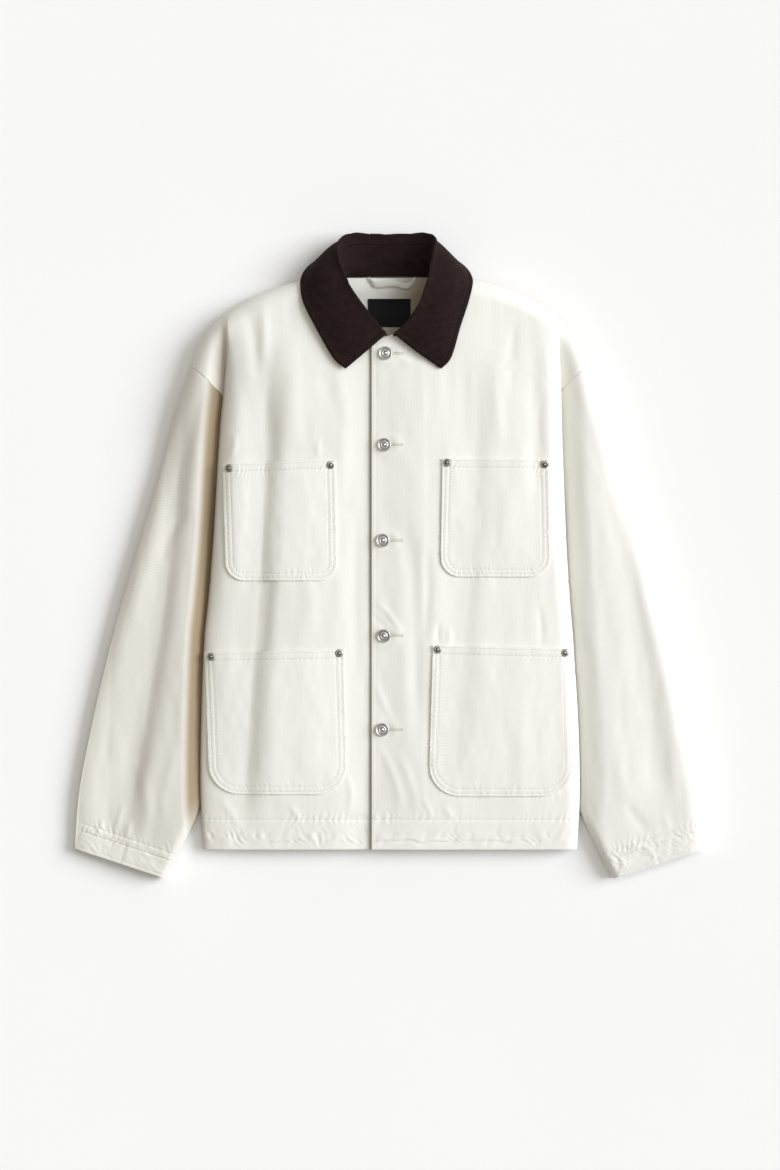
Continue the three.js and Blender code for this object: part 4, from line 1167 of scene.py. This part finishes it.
LEAF_ROOM = 2.9


def neck_seam(side, station):
    inset = SEAM_GAP + 0.6
    place = neck_route.at(np.minimum(station / SHOULDER_STATION, 1))
    z = front_height(side * place[:, 0], place[:, 1])
    ahead = np.stack([side * (place[:, 0] - inset), place[:, 1] + inset, z], -1)
    share = np.clip((station - SHOULDER_STATION) / (1 - SHOULDER_STATION), 0, 1)
    across = mix(NECK_HALF - 1, 0, share)
    low = mix(rim_height(ARM_TOP_Y), GROUND + OVER_LEAF, ease(0, 0.35, share))
    behind = np.stack([side * across, np.full_like(across, BACK_NECK_Y + SEAM_GAP + 1.5), low], -1)
    return np.where((station <= SHOULDER_STATION)[:, None], ahead, behind)


def centripetal(knots, steps):
    """A smooth curve through 3-D points, many stations at once: (knots, stations, 3)."""
    held = np.concatenate([2 * knots[:1] - knots[1:2], knots, 2 * knots[-1:] - knots[-2:-1]])
    gaps = np.sqrt(np.linalg.norm(np.diff(held, axis=0), axis=2, keepdims=True))
    gaps = np.maximum(gaps, 1e-3)
    t = np.linspace(0, 1, steps, endpoint=False)[:, None, None]
    parts = []
    for k in range(len(knots) - 1):
        a, b, c, d = held[k : k + 4]
        g, h, i = gaps[k : k + 3]
        leave = ((b - a) / g - (c - a) / (g + h) + (c - b) / h) * h
        arrive = ((c - b) / h - (d - b) / (h + i) + (d - c) / i) * h
        parts.append(bend(b, c, leave, arrive, t))
    return np.concatenate([*parts, knots[-1:]])


def unit(vectors, length):
    return vectors / np.linalg.norm(vectors, axis=-1, keepdims=True) * length


def collar_sections(side, station):
    column = "left" if side < 0 else "right"

    def line(table):
        return np.stack([side * read(table, "s", column, station), read(table, "s", "y", station),
                         read(table, "s", "z", station)], -1)

    seam = neck_seam(side, station)
    roll, leaf, edge = line(collar_roll), line(collar_leaf), line(collar_edge)
    turn = np.minimum(3.4, 0.36 * np.linalg.norm(roll - seam, axis=1, keepdims=True))
    sideways = unit(roll - (seam + leaf) / 2, turn * 0.6)
    knots = np.stack([
        seam, (seam + roll) / 2, roll + unit(seam - roll, turn) - sideways, roll,
        roll + unit(leaf - roll, turn) - sideways, leaf, edge,
    ])
    return centripetal(knots, CURVE_STEPS)


def clear_of_front(points):
    x, y, z = points[..., 0], points[..., 1], points[..., 2]
    across = np.abs(x)
    shoulder = columns("x y", shoulder_rows)
    end = np.where(across > NECK_HALF, read(shoulder, "x", "y", across) + 2, BACK_NECK_Y + 1)
    above = (y < end) & (across > 4) & (z > rim_height(ARM_TOP_Y))
    room = LEAF_ROOM + 1.6 * ease(22, 4, nearest_on(rim_line, across, y)[0])
    floor = front_height(x, np.minimum(y, BACK_NECK_Y)) + room
    points[..., 2] = np.where(above, np.maximum(z, floor), z)
    return points


def collar_grid(shares, leaf_part, stations=96):
    halves = []
    for side in (1, -1):
        station = crowded(stations, 0.75, 0.25)
        curve = collar_sections(side, station)
        step = np.linalg.norm(np.diff(curve, axis=0), axis=2)
        lengths = np.concatenate([np.zeros((1, stations)), np.cumsum(step, axis=0)])
        total, roll = lengths[-1], lengths[ROLL_KNOT * CURVE_STEPS]
        seam = roll / total * mix(0.4, 0.74, ease(0, 0.3, station))
        rows = []
        for k in range(stations):
            share = mix(seam[k] + 0.006, 1, shares) if leaf_part else shares * seam[k]
            at = share * total[k]
            rows.append(np.stack([np.interp(at, lengths[:, k], curve[:, k, c]) for c in range(3)], -1))
        halves.append(np.array(rows))
    return clear_of_front(np.concatenate([halves[0], halves[1][:-1][::-1]]))


# %% [markdown]
# The leaf gets what sewing does to corduroy: a row of stitches 6 mm inside its edge, sunk into the
# pile, and a plump edge outside it.

# %% Collar leaf and stand
LEAF_ROW = 6.0


def leaf_grid():
    points = collar_grid(crowded(46, 0.8, last=0.2), True)
    u, v = cloth_lengths(points)
    off = np.minimum(u[:, -1:] - u, np.minimum(v, v[-1:] - v))
    relief = groove(off - LEAF_ROW, 0.55, 1.1) + 0.35 * bell(off - 3, 2.2)
    relief += 0.35 * drift(u, v, 14, 30, 7) * ease(2, 14, off)
    relief -= 0.5 * ease(2.0, 0.0, off)
    return points + surface_normals(points) * relief[..., None], off, np.stack([u, v], -1)


leaf_points, leaf_off, leaf_uv = leaf_grid()
leaf = panel("collar_leaf_corduroy", leaf_points, leaf_uv, CORDUROY, round_edge=0.7)
lay(leaf, leaf_points, ["collar_leaf"], corduroy)

points = collar_grid(np.linspace(0, 1, 18), False)
stand_uv = np.stack(cloth_lengths(points), -1)
stand = panel("collar_stand_corduroy", points, stand_uv, CORDUROY, round_edge=0.5)
lay(stand, points, ["collar_stand"], corduroy)

# %% [markdown]
# The hanger loop is a narrow folded strip, caught in the neck seam at both ends. The label lies
# below it on the inside of the back, black and bare.

# %% Hanger loop and label
LOOP_WIDTH, LOOP_TILT, LOOP_WALL, LABEL_WALL = 6.6, 2.2, 1.3, 1.0


def strip_grid(path, width, tilt, steps=60, cols=7):
    knots = np.array(path, float)[:, None, :]
    line = centripetal(knots, 24)[:, 0]
    picked = line[np.linspace(0, len(line) - 1, steps).astype(int)]
    share = np.linspace(-0.5, 0.5, cols)
    puff = 0.35 * (1 - (2 * share) ** 2)
    grid = np.repeat(picked[:, None, :], cols, axis=1)
    grid[..., 1] += share[None, :] * width
    grid[..., 2] += share[None, :] * tilt + puff[None, :]
    return grid.transpose(1, 0, 2)


loop_path = [(-25, 334.5, 8.2), (-17, 328, 10.5), (4, 329.5, 12.5), (22, 326.5, 10.5), (31, 334.5, 8.2)]
points = strip_grid(loop_path, LOOP_WIDTH, LOOP_TILT)
loop_uv = np.stack(cloth_lengths(points)[::-1], -1)
loop = panel("hanger_loop_strip", points, loop_uv, LOOP_WALL, round_edge=0.4)
# A faint even painted shade over the hanger loop.
write_attribute(loop, "painted_shade", np.full(len(loop.data.vertices), 0.06))
lay(loop, points, ["hanger_loop"], cotton, layers=2)

label_x, label_y = np.meshgrid(np.linspace(-26, 25.4, 56), np.linspace(277, 311, 40))
rise = COTTON / 2 + SEAM_GAP + 0.75
ripple = 0.25 * drift(label_x, label_y, 11, 14, 5)
points = np.stack([label_x, label_y, back_height(np.abs(label_x), label_y) + rise + ripple], -1)
tag = panel("neck_label_cloth", points, points[..., :2], LABEL_WALL, round_edge=0.3)
lay(tag, points, ["neck_label"], black_label)

# %% [markdown]
# Stitches are one small shape repeated thousands of times: an icosahedron drawn out to the length
# of a stitch, half sunk in the cloth. They are set along a line on the finished cloth, found by
# dropping a ray from above, and all stitches of a piece are one mesh.

# %% Stitches
STITCH, STITCH_STEP, THREAD = 2.5, 3.1, 0.62
RAY_FROM, SAME_HEIGHT, STEEP = 0.2, 4.0, 0.25


def stitch_shape():
    bpy.ops.mesh.primitive_ico_sphere_add(subdivisions=1, radius=1)
    ball, mesh = bpy.context.object, bpy.context.object.data
    corners = np.array([v.co for v in mesh.vertices])
    faces = np.array([list(p.vertices) for p in mesh.polygons])
    bpy.data.objects.remove(ball)
    bpy.data.meshes.remove(mesh)
    return corners, faces


ball_corners, ball_faces = stitch_shape()
print("a stitch has", len(ball_faces), "faces")


def tree_of(piece):
    corners = [v.co.copy() for v in piece.data.vertices]
    return BVHTree.FromPolygons(corners, [list(p.vertices) for p in piece.data.polygons])


def drop(tree, x, y):
    """The top of the cloth straight below a place: its point in mm, and its normal."""
    hit, normal, _, _ = tree.ray_cast(Vector((x * MM, y * MM, RAY_FROM)), Vector((0, 0, -1)))
    if hit is None:
        return None
    return np.array(hit) / MM, np.array(normal)


def evenly(line, step):
    """Points a stitch apart along a plan line, with each one's direction."""
    line = np.asarray(line, float)
    lengths = np.concatenate([[0], np.cumsum(np.linalg.norm(np.diff(line, axis=0), axis=1))])

    def at(place):
        return np.stack([np.interp(place, lengths, column) for column in line.T], -1)

    steps = np.arange(step * 0.6, lengths[-1] - step * 0.4, step)
    run = at(steps + 1) - at(steps - 1)
    return at(steps), run / np.linalg.norm(run, axis=1, keepdims=True)


def along_cloth(way, normal):
    """A direction turned into the cloth's surface."""
    way = way - normal * (way @ normal)
    return way / np.linalg.norm(way)


def stitches_on(tree, line):
    """Stitches along a line. Where the line has heights, only those on the cloth at that height."""
    made = []
    for place, way in zip(*evenly(line, STITCH_STEP)):
        found = drop(tree, place[0], place[1])
        if found is None:
            continue
        point, normal = found
        hidden = len(place) > 2 and abs(point[2] - place[2]) > SAME_HEIGHT
        if not hidden and normal[2] >= STEEP:
            made.append((point, along_cloth(np.array([way[0], way[1], 0.0]), normal), normal))
    return made


def balls(name, shapes):
    """One mesh from many copies of the small ball, each with its own corners in mm."""
    faces = [ball_faces + k * len(ball_corners) for k in range(len(shapes))]
    mesh = bpy.data.meshes.new(name)
    mesh.from_pydata((np.vstack(shapes) * MM).tolist(), [], np.vstack(faces).tolist())
    mesh.shade_smooth()
    return put(name, mesh)


def thread_mesh(name, stitches, material, long=STITCH, thick=THREAD):
    shapes = []
    for point, forward, normal in stitches:
        aside = np.cross(normal, forward)
        shape = (ball_corners[:, :1] * forward * long / 2 + ball_corners[:, 1:2] * aside * thick / 2
                 + ball_corners[:, 2:] * normal * thick / 2)
        shapes.append(point + normal * thick * 0.12 + shape)
    piece = balls(name, shapes)
    piece.data.materials.append(material)
    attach(piece, "root")
    print(name, len(stitches), "stitches")


def offset_line(line, off):
    """A line moved aside by `off`, to its left."""
    run = np.gradient(np.asarray(line, float), axis=0)
    run /= np.linalg.norm(run, axis=1, keepdims=True)
    return line + np.column_stack([-run[:, 1], run[:, 0]]) * off


def cloth_tree(name):
    return tree_of(bpy.data.objects[f"{name}_cloth"])


# %% [markdown]
# Each pocket has two rows along its sewn edge and two along its top hem. The jacket's hem, the
# button edge, the armhole seams and the cuffs have their own rows, as the photo shows.

# %% Rows of stitches
for name in pocket_sizes:
    tree = cloth_tree(name)
    sewn, top = pocket_outline(name)
    dense = evenly(sewn, 1.5)[0]
    rows = []
    for off in POCKET_ROWS:
        rows += stitches_on(tree, offset_line(dense, off))
    for down in (TOP_HEM, TOP_ROW):
        rows += stitches_on(tree, top + np.array([[4, -down], [-4, -down]]))
    thread_mesh(f"{name}_stitches", rows, cream_thread)

HEM_ROW_END = 222
ARMHOLE_ROWS = (1.6, 7.6)
fronts = {side: cloth_tree(f"front_{label}") for side, label in SIDES}
seam_line = armhole_route.at(np.linspace(0.76, 0.995, 40))
for side, label in SIDES:
    inner_x = PLACKET_EDGE - 3 if side < 0 else PLACKET_EDGE + 2
    hem_row = HEM_Y + HEM_DEPTH
    rows = stitches_on(fronts[side], [(side * HEM_ROW_END, hem_row), (inner_x, hem_row)])
    for off in ARMHOLE_ROWS:
        rows += stitches_on(fronts[side], offset_line(seam_line, off) * np.array([side, 1]))
    if side > 0:
        rows += stitches_on(fronts[side], [(PLACKET_EDGE + 2.4, HEM_Y + 3), (PLACKET_EDGE + 2.4, 252)])
    thread_mesh(f"front_{label}_stitches", rows, cream_thread)

for side, label in SIDES:
    tree, rows = cloth_tree(f"sleeve_{label}"), []
    for up in CUFF_ROWS:
        start = cuff_ends[0] + np.array([-3.5, 0]) + cuff_up * up
        line = np.array([start, start + cuff_run * CUFF_WIDTH])
        rows += stitches_on(tree, line * np.array([side, 1]))
    thread_mesh(f"sleeve_{label}_stitches", rows, cream_thread)

edge_line = []
for points, off in zip(leaf_points, leaf_off):
    inside = np.nonzero(off >= LEAF_ROW)[0]
    if len(inside):
        edge_line.append(points[inside[-1]])
leaf_rows = stitches_on(tree_of(leaf), np.array(edge_line))
thread_mesh("collar_leaf_stitches", leaf_rows, brown_thread)

# %% [markdown]
# A shank button is turned metal: a raised rim, a sunk ring with a beaded border, and a domed
# middle. Its section is drawn once and spun about its axis, as on a lathe. The rivets are made the
# same way, with a small nipple in the middle of a flat cap.

# %% Buttons and rivets
def turned(name, section, steps):
    """A closed solid of revolution from a section of (radius, height) points."""
    mesh = bpy.data.meshes.new(name)
    corners = [(r * MM, 0, h * MM) for r, h in section]
    mesh.from_pydata(corners, [(k, k + 1) for k in range(len(corners) - 1)], [])
    piece = put(name, mesh)
    bpy.context.view_layer.objects.active = piece
    piece.select_set(True)
    bpy.ops.object.mode_set(mode="EDIT")
    bpy.ops.mesh.select_all(action="SELECT")
    bpy.ops.mesh.spin(steps=steps, angle=2 * math.pi, center=(0, 0, 0), axis=(0, 0, 1))
    bpy.ops.mesh.select_all(action="SELECT")
    bpy.ops.mesh.remove_doubles(threshold=0.00001)
    bpy.ops.mesh.normals_make_consistent(inside=False)
    bpy.ops.object.mode_set(mode="OBJECT")
    bpy.ops.object.shade_smooth()
    piece.select_set(False)
    return piece


def seat(piece, point, normal):
    """Moves a piece's mesh so that its axis stands on the cloth at a point."""
    turn = Vector((0, 0, 1)).rotation_difference(Vector(normal)).to_matrix().to_4x4()
    piece.data.transform(Matrix.Translation(Vector(point) * MM) @ turn)


button_section = [
    (0, 0), (2.6, 0), (2.8, 1.2), (5.5, 1.5), (7.5, 1.7), (8.15, 2.2), (8.25, 2.8), (8.0, 3.4),
    (7.5, 3.75), (7.0, 3.7), (6.7, 3.35), (6.5, 3.05), (5.2, 2.95), (4.5, 3.0), (4.2, 3.35),
    (3.8, 3.6), (3.3, 3.5), (2.9, 3.2), (2.5, 3.15), (2.1, 3.5), (1.5, 4.1), (0.8, 4.45), (0, 4.55),
]
rivet_section = [
    (0, 0), (4.6, 0), (4.8, 0.25), (4.7, 0.7), (4.3, 1.0), (3.4, 1.15), (2.4, 1.2), (1.9, 1.3),
    (1.6, 1.9), (1.2, 2.2), (0.6, 2.3), (0, 2.3),
]


def add_beads(piece, radius, height, count, size):
    """A ring of beads joined into a turned piece."""
    angles = 2 * math.pi * np.arange(count) / count
    centres = np.column_stack([radius * np.cos(angles), radius * np.sin(angles), np.full(count, height)])
    beads = balls("beads", [centre + ball_corners * size for centre in centres])
    bpy.ops.object.select_all(action="DESELECT")
    beads.select_set(True)
    piece.select_set(True)
    bpy.context.view_layer.objects.active = piece
    bpy.ops.object.join()
    bpy.ops.object.shade_smooth()
    piece.select_set(False)


rivet_places = {
    "rivet_chest_left_outer": (-192.8, 105.5), "rivet_chest_left_inner": (-70.8, 109.1),
    "rivet_chest_right_inner": (69.3, 112.2), "rivet_chest_right_outer": (186.7, 109.9),
    "rivet_lower_left_outer": (-214.6, -121.4), "rivet_lower_left_inner": (-60.5, -117),
    "rivet_lower_right_inner": (58, -112.5), "rivet_lower_right_outer": (211, -116.5),
}


def hollow_mask(piece, rings):
    """Darkens the sunk rings of a turned piece, by their radius before it is seated."""
    x, y = vertex_places(piece)[:, :2].T
    radius = np.hypot(x, y)
    mask = np.zeros(len(radius))
    for low, high, strength in rings:
        mask = np.maximum(mask, strength * ((radius > low) & (radius < high)))
    write_attribute(piece, "hollow", mask)


for name, (x, y) in button_places.items():
    point, normal = drop(fronts[1], x, y)
    button = turned(f"{name}_metal", button_section, steps=56)
    add_beads(button, radius=5.6, height=3.0, count=30, size=0.42)
    hollow_mask(button, [(4.4, 6.8, 0.55), (2.3, 3.2, 0.9)])
    seat(button, point + normal * 0.25, normal)
    dress(button, [name], silver)

for name, (x, y) in rivet_places.items():
    pocket_name = "_".join(["pocket", *name.split("_")[1:3]])
    point, normal = drop(cloth_tree(pocket_name), x, y)
    rivet = turned(f"{name}_metal", rivet_section, steps=40)
    hollow_mask(rivet, [(1.5, 3.3, 0.9), (4.2, 5.0, 0.35)])
    seat(rivet, point - normal * 0.1, normal)
    dress(rivet, [name], steel)

# %% [markdown]
# A buttonhole is a slit bound with thread. Short stitches lie square to the slit on both sides, and
# a bar closes the far end. Each one runs level from under its button.

# %% Buttonholes
SLIT_END, BIND_STEP, BIND_ASIDE = 15.0, 0.62, 0.95

rows = []
for x, y in button_places.values():
    for at in np.arange(x + 3, SLIT_END, BIND_STEP):
        for aside in (-BIND_ASIDE, BIND_ASIDE):
            point, normal = drop(fronts[1], at, y + aside)
            rows.append((point, along_cloth(np.array([0.15, 1.0, 0.0]), normal), normal))
    for aside in np.arange(-1.6, 1.7, 0.5):
        point, normal = drop(fronts[1], SLIT_END + 1.1, y + aside)
        rows.append((point, along_cloth(np.array([1.0, 0.0, 0.0]), normal), normal))
thread_mesh("buttonhole_stitches", rows, cream_thread, long=1.7, thick=0.5)

# %% [markdown]
# The floor is a plain pale sheet. A large soft light stands far off to the right, low enough to throw
# the long soft shadow on the left, and a wide, faint one fills from above. The surroundings are warm,
# so that hollows and shadows turn cream while the lit side stays white.

# %% Floor and lights
FLOOR_SIZE, FLOOR_Z = 60, -0.0004
WORLD_COLOUR, WORLD_STRENGTH = (1, 0.92, 0.8, 1), 0.27

bpy.ops.mesh.primitive_plane_add(size=FLOOR_SIZE, location=(0, 0, FLOOR_Z))
floor = bpy.context.object
floor.name = "floor"
pale = Finish("pale_floor", 0.9)
tone = pale.noise(pale.stretched(pale.place("object"), (3, 3, 3)), 2)
pale.set("Base Color", pale.blend(tone, (0.93, 0.935, 0.945), (0.945, 0.95, 0.96)))
floor.data.materials.append(pale.material)


def add_sun(name, azimuth, elevation, spread, strength, colour):
    """A soft light from far away, at angles in degrees; `spread` is how wide it looks."""
    data = bpy.data.lights.new(name, "SUN")
    data.angle = math.radians(spread)
    data.energy = strength
    data.color = colour
    around, up = math.radians(azimuth), math.radians(elevation)
    towards = Vector((math.cos(up) * math.cos(around), math.cos(up) * math.sin(around), math.sin(up)))
    put(name, data).rotation_euler = towards.to_track_quat("Z", "Y").to_euler()


add_sun("key", 14, 33, spread=38, strength=3.2, colour=(0.93, 0.97, 1.0))
add_sun("overhead", 60, 78, spread=50, strength=0.7, colour=(1.0, 0.98, 0.95))

world = bpy.data.worlds.new("studio")
world.use_nodes = True
world.node_tree.nodes["Background"].inputs["Color"].default_value = WORLD_COLOUR
world.node_tree.nodes["Background"].inputs["Strength"].default_value = WORLD_STRENGTH
bpy.context.scene.world = world
bpy.context.scene.view_settings.view_transform = "Standard"
bpy.context.scene.view_settings.look = "None"
